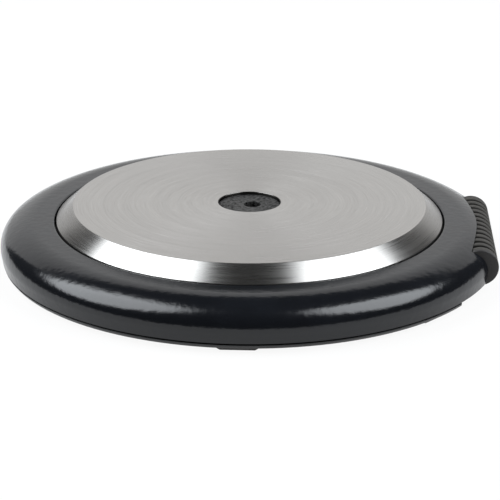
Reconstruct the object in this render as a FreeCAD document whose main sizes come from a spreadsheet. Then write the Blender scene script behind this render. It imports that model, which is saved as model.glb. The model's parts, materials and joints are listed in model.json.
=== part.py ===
import FreeCAD, Part
import math
import os
import Sketcher

# A slim round electric hot plate, in millimetres.
# +Z is up and the feet stand on Z = 0. The origin is under the middle of the round body.
# The ribbed carry grip is at +X, the mains inlet at +Y, and the plain front at -Y.

Vector = FreeCAD.Vector
Rotation = FreeCAD.Rotation
Placement = FreeCAD.Placement

SIZES = [
    ("total_height", 28.5, "floor to the top of the steel plate"),
    ("plate_r", 90.5, "steel plate at the foot of its bevel, radius"),
    ("bevel_run", 7.9, "how far the bevel runs outwards"),
    ("bevel_drop", 6.8, "height of the bevel"),
    ("plate_skin", 2.0, "thickness of the steel plate"),
    ("skirt_depth", 4.0, "straight skirt below the bevel"),
    ("centre_hole_r", 14.6, "round hole in the middle of the steel plate, radius"),
    ("ring_drop", 6.7, "top of the body ring below the top of the plate"),
    ("plate_gap", 0.8, "gap between the steel plate and the body ring"),
    ("ring_band", 25.5, "width of the body ring, from its inner edge to its widest"),
    ("ring_wall", 2.2, "wall of the body ring"),
    ("lip_r", 0.8, "rounding of the ring's inner edge"),
    ("crown_run", 16.8, "how far inside the widest radius the ring starts to curve down"),
    ("crown_r", 23.25, "large rounding of the ring"),
    ("shoulder_r", 9.86, "small rounding of the ring's shoulder"),
    ("ring_foot_in", 0.8, "how far the ring draws in at its foot"),
    ("seam_gap", 0.8, "seam between ring and base plate"),
    ("ledge_w", 5.3, "width of the ledge under the steel plate"),
    ("ledge_t", 1.2, "thickness of that ledge"),
    ("gasket_t", 1.5, "thickness of the plate gasket"),
    ("gasket_in", 1.4, "gasket, inner edge outside the ledge's"),
    ("gasket_gap", 0.2, "gap between gasket and ring"),
    ("casting_in", 2.1, "heater casting, how far inside the plate's flat top it ends"),
    ("casting_depth", 8.1, "heater casting, thickness"),
    ("element_ring_r", 58.0, "heating element, radius of its ring"),
    ("element_r", 3.2, "heating element, radius of its tube"),
    ("element_gap", 20.0, "half the open angle of the element's ring"),
    ("element_bend_r", 6.4, "heating element, radius of its end bends"),
    ("element_leg", 1.2, "straight end of the element below its bend"),
    ("groove_gap", 0.15, "gap beside the element in its groove"),
    ("pad_in", 2.5, "insulation disc, how far inside the casting it ends"),
    ("pad_t", 1.4, "insulation disc, thickness"),
    ("shield_out", 3.5, "heat shield, how far outside the casting it ends"),
    ("shield_t", 0.8, "heat shield, thickness"),
    ("shield_rim", 2.4, "height of the shield's turned-up rim"),
    ("leg_hole_gap", 0.9, "gap round an element leg where it passes a sheet"),
    ("disc_gap", 0.3, "gap round the centre disc"),
    ("disc_drop", 1.2, "centre disc below the top of the plate"),
    ("disc_t", 2.4, "flange of the centre disc, thickness"),
    ("spigot_r", 9.0, "spigot of the centre disc, radius"),
    ("spigot_gap", 0.1, "gap round the spigot"),
    ("disc_hole_r", 3.95, "hole in the centre disc, radius"),
    ("disc_hole_x", 1.4, "sideways place of that hole"),
    ("disc_hole_depth", 3.8, "depth of that hole"),
    ("dimple_at", 11.3, "dimple in the centre disc, distance from the middle"),
    ("dimple_angle", -14.0, "dimple in the centre disc, its direction from +X"),
    ("dimple_r", 0.9, "radius of the dimple"),
    ("dimple_depth", 0.5, "depth of the dimple"),
    ("stud_r", 3.0, "centre stud, radius"),
    ("stud_foot", 7.2, "foot of the centre stud above the floor"),
    ("stud_into_disc", 4.0, "length of the stud inside the centre disc"),
    ("thread_gap", 0.05, "radial gap drawn for a thread or a press fit"),
    ("bracket_w", 16.0, "clamp bracket, width"),
    ("bracket_t", 1.5, "clamp bracket, thickness"),
    ("bracket_rest", 5.0, "clamp bracket, how far each end rests under the ledge"),
    ("bracket_angle", 70.0, "clamp bracket, its direction from +X"),
    ("washer_r", 6.5, "clamp washer, radius"),
    ("washer_t", 0.8, "clamp washer, thickness"),
    ("nut_r", 5.77, "clamp nut, radius over its corners"),
    ("nut_t", 4.5, "clamp nut, thickness"),
    ("base_foot", 2.1, "underside of the base plate above the floor"),
    ("base_t", 1.9, "base plate, thickness"),
    ("base_in", 1.2, "base plate's top edge, inside the ring's widest radius"),
    ("base_slope", 1.2, "how much smaller the base plate is at its underside"),
    ("base_rim_t", 1.2, "locating rim of the base plate, thickness"),
    ("base_rim_rise", 1.8, "locating rim of the base plate, height"),
    ("rim_gap", 0.35, "gap between the locating rim and the ring"),
    ("base_cut_in", 9.2, "straight edge of the base plate, inside the grip's axis"),
    ("vent_in", 46.0, "cooling slots, inner end"),
    ("vent_len", 26.0, "cooling slots, length"),
    ("vent_w", 4.0, "cooling slots, width"),
    ("vent_count", 10, "cooling slots, number"),
    ("foot_inset", 1.6, "feet, outer face inside the base plate's edge"),
    ("foot_len", 12.2, "feet, radial length"),
    ("foot_w", 18.0, "feet, width"),
    ("foot_edge", 1.5, "feet, chamfer"),
    ("boss_in", 15.8, "screw bosses, inside the ring's widest radius"),
    ("boss_r", 4.0, "screw bosses, radius"),
    ("screw_r", 1.45, "screws, shank radius"),
    ("screw_hole_r", 1.7, "screws, clearance hole radius"),
    ("screw_pilot_r", 1.5, "screws, pilot hole radius"),
    ("head_r", 2.9, "screws, head radius"),
    ("head_t", 1.5, "screws, head height"),
    ("screw_reach", 9.7, "base screws, length above the base plate's underside"),
    ("grip_in", 10.6, "axis of the carry grip, inside the ring's widest radius"),
    ("grip_z", 11.9, "axis of the carry grip above the floor"),
    ("grip_r", 8.5, "carry grip, radius"),
    ("grip_len", 78.0, "carry grip, length over its end caps"),
    ("cap_t", 2.0, "grip end caps, thickness"),
    ("grip_gap", 0.5, "gap between the grip and its channel"),
    ("rib_count", 13, "ribs on the grip sleeve"),
    ("rib_w", 3.0, "width of a rib"),
    ("rib_h", 1.6, "height of a rib"),
    ("core_r", 5.4, "grip core, radius"),
    ("core_gap", 0.1, "gap between core and sleeve"),
    ("cap_pin_r", 3.0, "pin of an end cap, radius"),
    ("cap_pin_len", 6.0, "pin of an end cap, length"),
    ("rod_r", 2.0, "handle rods, radius"),
    ("rod_y", 25.0, "handle rods, distance from the middle line"),
    ("rod_into_core", 3.0, "handle rods, length past the grip's axis"),
    ("rod_run_gap", 0.06, "running gap of a rod in its guide"),
    ("rod_hole_gap", 0.4, "gap of a rod in the ring's wall"),
    ("travel", 38.0, "pull-out travel of the handle"),
    ("stop_gap", 0.3, "gap left at the handle's stop"),
    ("guide_len", 14.1, "rod guides, length"),
    ("guide_w", 16.0, "rod guides, width"),
    ("guide_gap", 0.2, "gap round a rod guide"),
    ("guide_screw_in", 7.0, "guide screws, distance from the guide's inner face"),
    ("guide_screw_y", 5.0, "guide screws, distance from the rod"),
    ("guide_screw_reach", 8.5, "guide screws, length above the underside"),
    ("cross_t", 5.0, "handle cross bar, thickness"),
    ("cross_half_h", 2.8, "handle cross bar, half its height"),
    ("cross_over", 6.0, "handle cross bar, length past each rod"),
    ("clip_t", 0.8, "retaining clips, thickness"),
    ("clip_r", 4.0, "retaining clips, radius"),
    ("wheel_r", 17.0, "heat wheel, radius"),
    ("wheel_out", 2.2, "heat wheel, how far it stands out of the ring"),
    ("wheel_t", 5.0, "heat wheel, thickness"),
    ("wheel_z", 7.6, "heat wheel, underside above the floor"),
    ("wheel_gap", 0.6, "gap between the heat wheel and its slot"),
    ("wheel_angle", 125.0, "heat wheel, its direction from +X"),
    ("notch_r", 0.8, "grip notches of the heat wheel, radius"),
    ("notch_count", 36, "grip notches of the heat wheel, number"),
    ("shaft_r", 3.0, "thermostat shaft, radius"),
    ("shaft_pin_r", 2.0, "lower pin of the thermostat shaft, radius"),
    ("cam_r", 5.5, "thermostat cam, radius"),
    ("cam_off", 1.2, "thermostat cam, offset"),
    ("cam_t", 1.6, "thermostat cam, thickness"),
    ("arm_t", 1.0, "thermostat bracket, sheet thickness"),
    ("arm_w", 18.0, "thermostat bracket, width"),
    ("arm_lead", 12.0, "thermostat bracket, how far it reaches inside the block"),
    ("arm_top", 14.0, "thermostat bracket, top face above the floor"),
    ("block_gap", 2.4, "gap between the thermostat block and the bracket's upright"),
    ("block_len", 22.0, "thermostat block, length"),
    ("blade_t", 0.6, "thermostat blades, thickness"),
    ("blade_w", 7.0, "thermostat blades, width"),
    ("stack_gap", 0.2, "gap over the thermostat bracket"),
    ("inlet_in", 2.2, "front face of the mains inlet, inside the ring's widest radius"),
    ("inlet_depth", 16.0, "mains inlet, depth"),
    ("inlet_w", 30.0, "mains inlet, width"),
    ("inlet_foot", 6.0, "mains inlet, underside above the floor"),
    ("inlet_h", 9.2, "mains inlet, height"),
    ("inlet_wall", 1.2, "mains inlet, wall above and below its recess"),
    ("recess_w", 24.0, "recess of the mains inlet, width"),
    ("recess_depth", 11.0, "recess of the mains inlet, depth"),
    ("blade_at", 7.5, "inlet blades, distance from the middle"),
    ("pin_t", 1.6, "inlet blades, thickness"),
    ("pin_h", 4.0, "inlet blades, height"),
    ("pin_short", 3.0, "inlet blades, set back from the front face"),
    ("pin_tail", 5.0, "inlet blades, tail behind the inlet"),
    ("earth_w", 6.0, "earth contacts, width"),
    ("earth_t", 0.5, "earth contacts, thickness"),
    ("opening_gap", 0.2, "gap round the inlet in the ring"),
    ("lamp_angle", 108.0, "pilot lamp, its direction from +X"),
    ("lens_r", 3.3, "lamp lens, radius of its barrel"),
    ("lens_flange_r", 4.3, "lamp lens, radius of its flange"),
    ("lens_flange_t", 0.8, "lamp lens, thickness of its flange"),
    ("lens_dome", 0.7, "lamp lens, height of its dome"),
    ("lens_dome_r", 5.5, "lamp lens, radius of its dome's curve"),
    ("lens_tip_r", 0.8, "lamp lens, radius of the flat in the middle of its dome"),
    ("lens_len", 6.0, "lamp lens, length of its barrel"),
    ("lens_gap", 0.1, "gap round the lens and round the lamp"),
    ("lamp_r", 2.2, "pilot lamp, radius"),
    ("lamp_len", 13.0, "pilot lamp, length"),
    ("wire_r", 1.1, "inner wires, radius"),
    ("wire_bend", 6.0, "inner wires, bend radius"),
    ("wire_gap", 0.25, "gap between a wire's end and its terminal"),
    ("insulator_r", 2.4, "terminal beads, radius"),
    ("insulator_t", 0.8, "terminal beads, thickness"),
    ("tip_r", 1.2, "element terminal pins, radius"),
    ("tip_below", 0.85, "element terminal pins, how far below a wire's middle they reach"),
    ("terminal_w", 20.0, "terminal block, width"),
    ("terminal_len", 14.0, "terminal block, length"),
    ("terminal_y", 28.0, "terminal block, front face"),
    ("terminal_h", 8.8, "terminal block, height"),
    ("terminal_hole_x", 4.0, "terminal block, place of its wire holes"),
    ("terminal_hole_r", 1.5, "terminal block, radius of its wire holes"),
    ("fuse_in", 10.0, "thermal fuse, inside the heat shield's edge"),
    ("fuse_y", 7.0, "thermal fuse, near end"),
    ("fuse_r", 2.0, "thermal fuse, radius"),
    ("fuse_len", 12.0, "thermal fuse, length"),
    ("fuse_clip_w", 6.0, "fuse clip, width"),
    ("earth_stud_y", 60.0, "earth stud, distance from the middle"),
    ("earth_stud_r", 2.0, "earth stud, radius"),
]

FOOT_NAMES = {
    "foot_front": -90,
    "foot_front_right": -40,
    "foot_rear_right": 40,
    "foot_rear": 90,
    "foot_left": 180,
}
BOSS_ANGLES = [30, 72, 152, -152, -72, -30]


class Size:
    """A number together with the sheet formula that it comes from."""

    def __init__(self, formula, number):
        self.formula = formula
        self.number = float(number)

    def joined(self, sign, other, number):
        return Size("(" + self.formula + " " + sign + " " + other.formula + ")", number)

    def __add__(self, other):
        other = size(other)
        return self.joined("+", other, self.number + other.number)

    def __radd__(self, other):
        return size(other) + self

    def __sub__(self, other):
        other = size(other)
        return self.joined("-", other, self.number - other.number)

    def __rsub__(self, other):
        return size(other) - self

    def __mul__(self, other):
        other = size(other)
        return self.joined("*", other, self.number * other.number)

    def __rmul__(self, other):
        return size(other) * self

    def __truediv__(self, other):
        other = size(other)
        return self.joined("/", other, self.number / other.number)

    def __neg__(self):
        return size(0) - self


def size(value):
    if isinstance(value, Size):
        return value
    return Size("(" + repr(float(value)) + ")", value)


def root(value):
    return Size("sqrt(" + value.formula + ")", math.sqrt(value.number))


def cosine(angle):
    angle = size(angle)
    return Size("cos(" + angle.formula + " * 1 deg)", math.cos(math.radians(angle.number)))


def sine(angle):
    angle = size(angle)
    return Size("sin(" + angle.formula + " * 1 deg)", math.sin(math.radians(angle.number)))


doc = FreeCAD.newDocument("hot_plate")
sheet = doc.addObject("Spreadsheet::Sheet", "sizes")


class Named:
    """Holds every size of the sheet under its own name."""


v = Named()
for row, (alias, number, note) in enumerate(SIZES, start=1):
    sheet.set("A" + str(row), note)
    sheet.set("B" + str(row), str(number))
    sheet.setAlias("B" + str(row), alias)
    setattr(v, alias, Size("sizes." + alias, number))
doc.recompute()

parts = []


def bind(thing, path, value):
    thing.setExpression(path, size(value).formula)


def piece(thing, label):
    """Names a finished sub-part, which is then written to its own file."""
    thing.Label = label
    parts.append(thing)
    return thing


def move(thing, x=0, y=0, z=0, rotation=None):
    thing.Placement = Placement(
        Vector(size(x).number, size(y).number, size(z).number), rotation or Rotation()
    )
    for letter, value in (("x", x), ("y", y), ("z", z)):
        bind(thing, "Placement.Base." + letter, value)
    return thing


def spin(thing, angle):
    """Turns a thing about the upright axis through the origin."""
    # A turn of zero keeps no axis, so one degree stands in until the formula sets the angle.
    thing.Placement = Placement(Vector(), Rotation(Vector(0, 0, 1), size(angle).number or 1))
    thing.setExpression("Placement.Rotation.Angle", size(angle).formula + " * 1 deg")
    return thing


def box(name, x, y, z, length, width, height):
    """A block from its low corner (x, y, z)."""
    thing = doc.addObject("Part::Box", name)
    bind(thing, "Length", length)
    bind(thing, "Width", width)
    bind(thing, "Height", height)
    return move(thing, x, y, z)


UPRIGHT = Rotation()
ALONG_X = Rotation(Vector(0, 1, 0), 90)
ALONG_Y = Rotation(Vector(1, 0, 0), -90)


def bar(name, radius, length, x=0, y=0, z=0, way=UPRIGHT):
    """A round bar that starts at (x, y, z) and runs along its way."""
    thing = doc.addObject("Part::Cylinder", name)
    bind(thing, "Radius", radius)
    bind(thing, "Height", length)
    return move(thing, x, y, z, way)


def join(name, things):
    thing = doc.addObject("Part::MultiFuse", name)
    thing.Shapes = things
    return thing


def group(name, things):
    """Separate solids kept together in one object."""
    thing = doc.addObject("Part::Compound", name)
    thing.Links = things
    return thing


def cut(name, base, tools):
    thing = doc.addObject("Part::Cut", name)
    thing.Base = base
    thing.Tool = tools[0] if len(tools) == 1 else group(name + "_tools", tools)
    return thing


def common(name, first, second):
    thing = doc.addObject("Part::Common", name)
    thing.Base = first
    thing.Tool = second
    return thing


def plane(body, role):
    return [item for item in body.Origin.OriginFeatures if item.Role == role][0]


def arc_between(start, end, radius, left):
    """The arc from start to end whose centre lies to the left or right of the way."""
    middle = (start + end) * 0.5
    half = (end - start).Length / 2
    side = Vector(start.y - end.y, end.x - start.x, 0).normalize()
    centre = middle + side * (math.sqrt(radius * radius - half * half) * (1 if left else -1))
    angles = [math.atan2(p.y - centre.y, p.x - centre.x) for p in (start, end)]
    if not left:
        angles.reverse()
    if angles[1] < angles[0]:
        angles[1] += 2 * math.pi
    return Part.ArcOfCircle(Part.Circle(centre, Vector(0, 0, 1), radius), *angles)


def outline(body, name, role, corners, lift=0):
    """A closed sketch. A corner is (x, y) or (x, y, radius, left): then an arc follows it."""
    sketch = body.newObject("Sketcher::SketchObject", name)
    sketch.AttachmentSupport = [(plane(body, role), "")]
    sketch.MapMode = "FlatFace"
    sketch.AttachmentOffset = Placement(Vector(0, 0, size(lift).number), Rotation())
    bind(sketch, "AttachmentOffset.Base.z", lift)
    points = [Vector(size(c[0]).number, size(c[1]).number, 0) for c in corners]
    ends = []
    for i, corner in enumerate(corners):
        start, end = points[i], points[(i + 1) % len(points)]
        if len(corner) == 2:
            edge = sketch.addGeometry(Part.LineSegment(start, end), False)
            ends.append((edge, 1, 2))
        else:
            arc = arc_between(start, end, size(corner[2]).number, corner[3])
            edge = sketch.addGeometry(arc, False)
            ends.append((edge, 1, 2) if corner[3] else (edge, 2, 1))
    for i, corner in enumerate(corners):
        edge, first, _ = ends[i]
        before, _, last = ends[i - 1]
        sketch.addConstraint(Sketcher.Constraint("Coincident", before, last, edge, first))
        for kind, value, axis in (("DistanceX", corner[0], -2), ("DistanceY", corner[1], -1)):
            if not isinstance(value, Size) and value == 0:
                rule = Sketcher.Constraint("PointOnObject", edge, first, axis)
                sketch.addConstraint(rule)
                continue
            rule = Sketcher.Constraint(kind, edge, first, size(value).number)
            index = sketch.addConstraint(rule)
            bind(sketch, "Constraints[" + str(index) + "]", value)
        if len(corner) > 2:
            rule = Sketcher.Constraint("Radius", edge, size(corner[2]).number)
            index = sketch.addConstraint(rule)
            bind(sketch, "Constraints[" + str(index) + "]", corner[2])
    return sketch


def new_body(name):
    return doc.addObject("PartDesign::Body", name)


def turned(name, corners):
    """A body turned about the upright axis from an outline of (radius, height) corners."""
    body = new_body(name)
    sketch = outline(body, name + "_outline", "XZ_Plane", corners)
    turn = body.newObject("PartDesign::Revolution", name + "_turn")
    turn.Profile = sketch
    turn.ReferenceAxis = (sketch, ["V_Axis"])
    turn.Angle = 360
    return body


def padded(name, corners, z, thickness):
    """A body padded upwards by its thickness from a flat outline at height z."""
    body = new_body(name)
    pad = body.newObject("PartDesign::Pad", name + "_pad")
    pad.Profile = outline(body, name + "_outline", "XY_Plane", corners, z)
    bind(pad, "Length", thickness)
    return body


def tube_ring(name, in_r, out_r, z, height):
    return turned(
        name, [(in_r, z), (out_r, z), (out_r, z + height), (in_r, z + height)]
    )


# ---------------------------------------------------------------- heights
plate_top = v.total_height
bevel_foot = plate_top - v.bevel_drop
skirt_foot = bevel_foot - v.skirt_depth
casting_top = plate_top - v.plate_skin
casting_foot = casting_top - v.casting_depth
pad_foot = casting_foot - v.pad_t
shield_foot = pad_foot - v.shield_t
gasket_foot = skirt_foot - v.gasket_t
ledge_foot = gasket_foot - v.ledge_t
ring_top = plate_top - v.ring_drop
base_top = v.base_foot + v.base_t
ring_foot = base_top + v.seam_gap
element_z = casting_foot + v.element_r + v.groove_gap
leg_foot = element_z - v.element_bend_r - v.element_leg
wire_z = v.inlet_foot + v.inlet_h / 2
tip_foot = wire_z - v.tip_below


# ---------------------------------------------------------------- radii and places
plate_flat_r = v.plate_r - v.bevel_run
casting_r = plate_flat_r - v.casting_in
pad_r = casting_r - v.pad_in
shield_r = casting_r + v.shield_out
ring_in_r = v.plate_r + v.plate_gap
ring_r = ring_in_r + v.ring_band
crown_start = ring_r - v.crown_run
ledge_r = ring_in_r - v.ledge_w
gasket_in_r = ledge_r + v.gasket_in
bracket_reach = ledge_r + v.bracket_rest
base_r = ring_r - v.base_in
base_foot_r = base_r - v.base_slope
foot_in = base_foot_r - v.foot_inset - v.foot_len
boss_at = ring_r - v.boss_in
grip_x = ring_r - v.grip_in
base_cut_x = grip_x - v.base_cut_in
scoop_r = v.grip_r + v.grip_gap
channel_len = v.grip_len + 2 * v.grip_gap
guide_out = grip_x - scoop_r - v.ring_wall - v.guide_gap
guide_in = guide_out - v.guide_len
guide_screw_x = guide_in + v.guide_screw_in
rod_in = guide_in - v.travel - v.stop_gap - v.clip_t * 2 - v.cross_t - v.clip_t
cross_x = rod_in + v.clip_t * 2
wheel_y = ring_r + v.wheel_out - v.wheel_r
upright_y = wheel_y - v.wheel_r - v.wheel_gap - v.arm_t * 2
block_in = upright_y - v.block_gap - v.block_len
arm_in = block_in - v.arm_lead
inlet_face = ring_r - v.inlet_in
fuse_x = v.fuse_in - shield_r


# ---------------------------------------------------------------- hot side
def make_heating_plate():
    """Pressed steel plate: flat top, bevel, straight skirt and a bevelled centre hole."""
    edge = v.plate_skin * 0.2
    slope = (v.plate_r - plate_flat_r) / v.bevel_drop
    inner_top = plate_flat_r + (slope - 1) * v.plate_skin * 0.4
    corners = [
        (v.centre_hole_r, plate_top - edge),
        (v.centre_hole_r + edge, plate_top),
        (plate_flat_r, plate_top),
        (v.plate_r, bevel_foot),
        (v.plate_r, skirt_foot),
        (v.plate_r - v.plate_skin * 0.8, skirt_foot),
        (v.plate_r - v.plate_skin * 0.8, bevel_foot - v.plate_skin * 0.35),
        (inner_top, casting_top),
        (v.centre_hole_r, casting_top),
    ]
    piece(turned("heating_plate", corners), "heating_plate")


def bend_pockets(name, low, height):
    """Two cutters that clear the element's end bends, from the ring's ends past the legs."""
    reach = v.element_bend_r + v.element_r + v.leg_hole_gap
    tools = []
    for side in (1, -1):
        pocket = box(
            name,
            v.element_ring_r - v.element_r - v.leg_hole_gap,
            0 if side > 0 else -reach,
            low,
            v.element_r * 2 + v.leg_hole_gap * 2,
            reach,
            height,
        )
        tools.append(spin(group(name + "_turned", [pocket]), 180 - side * v.element_gap))
    return tools


def make_heater_casting():
    """Cast disc under the plate, with a ring groove for the element and a stepped bore."""
    groove_in = v.element_ring_r - v.element_r - v.groove_gap
    groove_out = v.element_ring_r + v.element_r + v.groove_gap
    groove_top = element_z + v.element_r + v.groove_gap
    bore = v.spigot_r + v.spigot_gap
    step_r = v.centre_hole_r - v.disc_gap + v.spigot_gap
    step_z = plate_top - v.disc_drop - v.disc_t
    corners = [
        (bore, casting_foot),
        (groove_in, casting_foot),
        (groove_in, groove_top),
        (groove_out, groove_top),
        (groove_out, casting_foot),
        (casting_r, casting_foot),
        (casting_r, casting_top),
        (step_r, casting_top),
        (step_r, step_z),
        (bore, step_z),
    ]
    disc = turned("casting_disc", corners)
    tools = bend_pockets("casting_pocket", casting_foot - 1, groove_top - casting_foot + 1)
    piece(cut("heater_casting", disc, tools), "heater_casting")


def leg_place(side):
    """Where an element leg comes down: side 1 is the rear one, -1 the front one."""
    angle = 180 - side * v.element_gap
    run = v.element_bend_r
    x = v.element_ring_r * cosine(angle) - side * run * sine(angle)
    y = v.element_ring_r * sine(angle) + side * run * cosine(angle)
    return x, y


def make_heating_element():
    """Sheathed tube bent to an open ring, both ends turned down to a terminal."""
    ring = doc.addObject("Part::Torus", "element_ring")
    bind(ring, "Radius1", v.element_ring_r)
    bind(ring, "Radius2", v.element_r)
    ring.setExpression("Angle3", (360 - 2 * v.element_gap).formula + " * 1 deg")
    move(ring, 0, 0, element_z)
    open_ring = spin(group("element_ring_turned", [ring]), 180 + v.element_gap)
    things = [open_ring]
    pins = []
    beads = []
    for side in (1, -1):
        bend = doc.addObject("Part::Torus", "element_bend")
        bind(bend, "Radius1", v.element_bend_r)
        bind(bend, "Radius2", v.element_r)
        bend.Angle3 = 90
        turn = Rotation(Vector(0, 0, 1), Vector(0, side, 0), Vector(-side, 0, 0), "ZXY")
        move(bend, v.element_ring_r, 0, element_z - v.element_bend_r, turn)
        things.append(spin(group("element_bend_turned", [bend]), 180 - side * v.element_gap))
        x, y = leg_place(side)
        things.append(bar("element_leg", v.element_r, v.element_leg, x, y, leg_foot))
        bead_foot = leg_foot - v.insulator_t
        whole = bar("bead", v.insulator_r, v.insulator_t, x, y, bead_foot)
        bore = bar("bead_bore", v.tip_r + v.thread_gap, v.insulator_t + 2, x, y, bead_foot - 1)
        beads.append(cut("bead_ring", whole, [bore]))
        pins.append(bar("tip", v.tip_r, leg_foot - tip_foot, x, y, tip_foot))
    piece(join("heating_element", things), "heating_element")
    piece(group("element_pins", pins), "element_pins")
    piece(group("pin_insulators", beads), "pin_insulators")


def sheet_tools(name, z, height, hole_r):
    """Cutters for a sheet under the casting: the centre hole and one per element leg."""
    tools = [bar(name + "_centre", hole_r, height + 2, 0, 0, z - 1)]
    for side in (1, -1):
        x, y = leg_place(side)
        tools.append(
            bar(name + "_leg", v.element_r + v.leg_hole_gap, height + 2, x, y, z - 1)
        )
    return tools


def make_insulation_and_shield():
    """A soft fibre disc and the dished sheet steel that holds it up."""
    disc = bar("pad_disc", pad_r, v.pad_t, 0, 0, pad_foot)
    bore = v.spigot_r + v.leg_hole_gap
    tools = [bar("pad_centre", bore, v.pad_t + 2, 0, 0, pad_foot - 1)]
    tools += bend_pockets("pad_pocket", pad_foot - 1, v.pad_t + 2)
    piece(cut("insulation_disc", disc, tools), "insulation_disc")
    corners = [
        (0, shield_foot),
        (shield_r, shield_foot),
        (shield_r, shield_foot + v.shield_rim),
        (shield_r - v.shield_t, shield_foot + v.shield_rim),
        (shield_r - v.shield_t, pad_foot),
        (0, pad_foot),
    ]
    dish = turned("shield_dish", corners)
    tools = sheet_tools("shield_hole", shield_foot, v.shield_t, v.stud_r + v.disc_gap)
    piece(cut("heat_shield", dish, tools), "heat_shield")


def make_centre_clamp():
    """The dark centre disc, its stud, and the bracket, washer and nut that pull it down."""
    flange_r = v.centre_hole_r - v.disc_gap
    disc_top = plate_top - v.disc_drop
    corners = [
        (0, casting_foot),
        (v.spigot_r, casting_foot),
        (v.spigot_r, disc_top - v.disc_t),
        (flange_r, disc_top - v.disc_t),
        (flange_r, disc_top),
        (0, disc_top),
    ]
    solid = turned("disc_solid", corners)
    stud_bore = bar(
        "disc_stud_bore",
        v.stud_r + v.thread_gap,
        v.stud_into_disc + v.thread_gap + 1,
        0,
        0,
        casting_foot - 1,
    )
    hole = bar(
        "disc_hole",
        v.disc_hole_r,
        v.disc_hole_depth + 1,
        v.disc_hole_x,
        0,
        disc_top - v.disc_hole_depth,
    )
    dimple = bar(
        "disc_dimple",
        v.dimple_r,
        v.dimple_depth + 1,
        v.dimple_at * cosine(v.dimple_angle),
        v.dimple_at * sine(v.dimple_angle),
        disc_top - v.dimple_depth,
    )
    piece(cut("centre_disc", solid, [stud_bore, hole, dimple]), "centre_disc")
    stud_len = casting_foot + v.stud_into_disc - v.stud_foot
    piece(bar("centre_stud", v.stud_r, stud_len, 0, 0, v.stud_foot), "centre_stud")
    strap = box(
        "strap",
        -bracket_reach,
        -v.bracket_w / 2,
        ledge_foot - v.bracket_t,
        bracket_reach * 2,
        v.bracket_w,
        v.bracket_t,
    )
    hole = bar(
        "strap_hole",
        v.stud_r + v.disc_gap,
        v.bracket_t + 2,
        0,
        0,
        ledge_foot - v.bracket_t - 1,
    )
    strap_cut = cut("clamp_bracket", strap, [hole])
    piece(spin(strap_cut, v.bracket_angle), "clamp_bracket")
    washer_foot = ledge_foot - v.bracket_t - v.washer_t
    bore_r = v.stud_r + v.thread_gap
    piece(tube_ring("clamp_washer", bore_r, v.washer_r, washer_foot, v.washer_t), "clamp_washer")
    prism = doc.addObject("Part::Prism", "nut_prism")
    prism.Polygon = 6
    bind(prism, "Circumradius", v.nut_r)
    bind(prism, "Height", v.nut_t)
    move(prism, 0, 0, washer_foot - v.nut_t)
    bore = bar("nut_bore", bore_r, v.nut_t + 2, 0, 0, washer_foot - v.nut_t - 1)
    piece(cut("clamp_nut", prism, [bore]), "clamp_nut")


def make_plate_gasket():
    out_r = ring_in_r - v.gasket_gap
    ring = tube_ring("plate_gasket", gasket_in_r, out_r, gasket_foot, v.gasket_t)
    piece(ring, "plate_gasket")


# ---------------------------------------------------------------- body ring and base
wide_z = (
    ring_top
    - v.crown_r
    + root(
        (v.crown_r - v.shoulder_r) * (v.crown_r - v.shoulder_r)
        - (ring_r - v.shoulder_r - crown_start) * (ring_r - v.shoulder_r - crown_start)
    )
)


def shoulder_corners(inset):
    """The ring's crown and shoulder, set in by a distance, from the top down to the foot."""
    crown_z = ring_top - v.crown_r
    shoulder_x = ring_r - v.shoulder_r
    share = (v.crown_r - inset) / (v.crown_r - v.shoulder_r)
    meet_x = crown_start + (shoulder_x - crown_start) * share
    meet_z = crown_z + (wide_z - crown_z) * share
    return [
        (crown_start, ring_top - inset, v.crown_r - inset, False),
        (meet_x, meet_z, v.shoulder_r - inset, False),
        (ring_r - inset, wide_z),
        (ring_r - v.ring_foot_in - inset, ring_foot),
    ]


def reverse_corners(corners):
    """The same outline walked the other way, so each arc belongs to its other end."""
    back = []
    for i in range(len(corners) - 1, -1, -1):
        before = corners[i - 1] if i else ()
        arc = (before[2], not before[3]) if len(before) > 2 else ()
        back.append(corners[i][:2] + arc)
    return back


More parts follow.
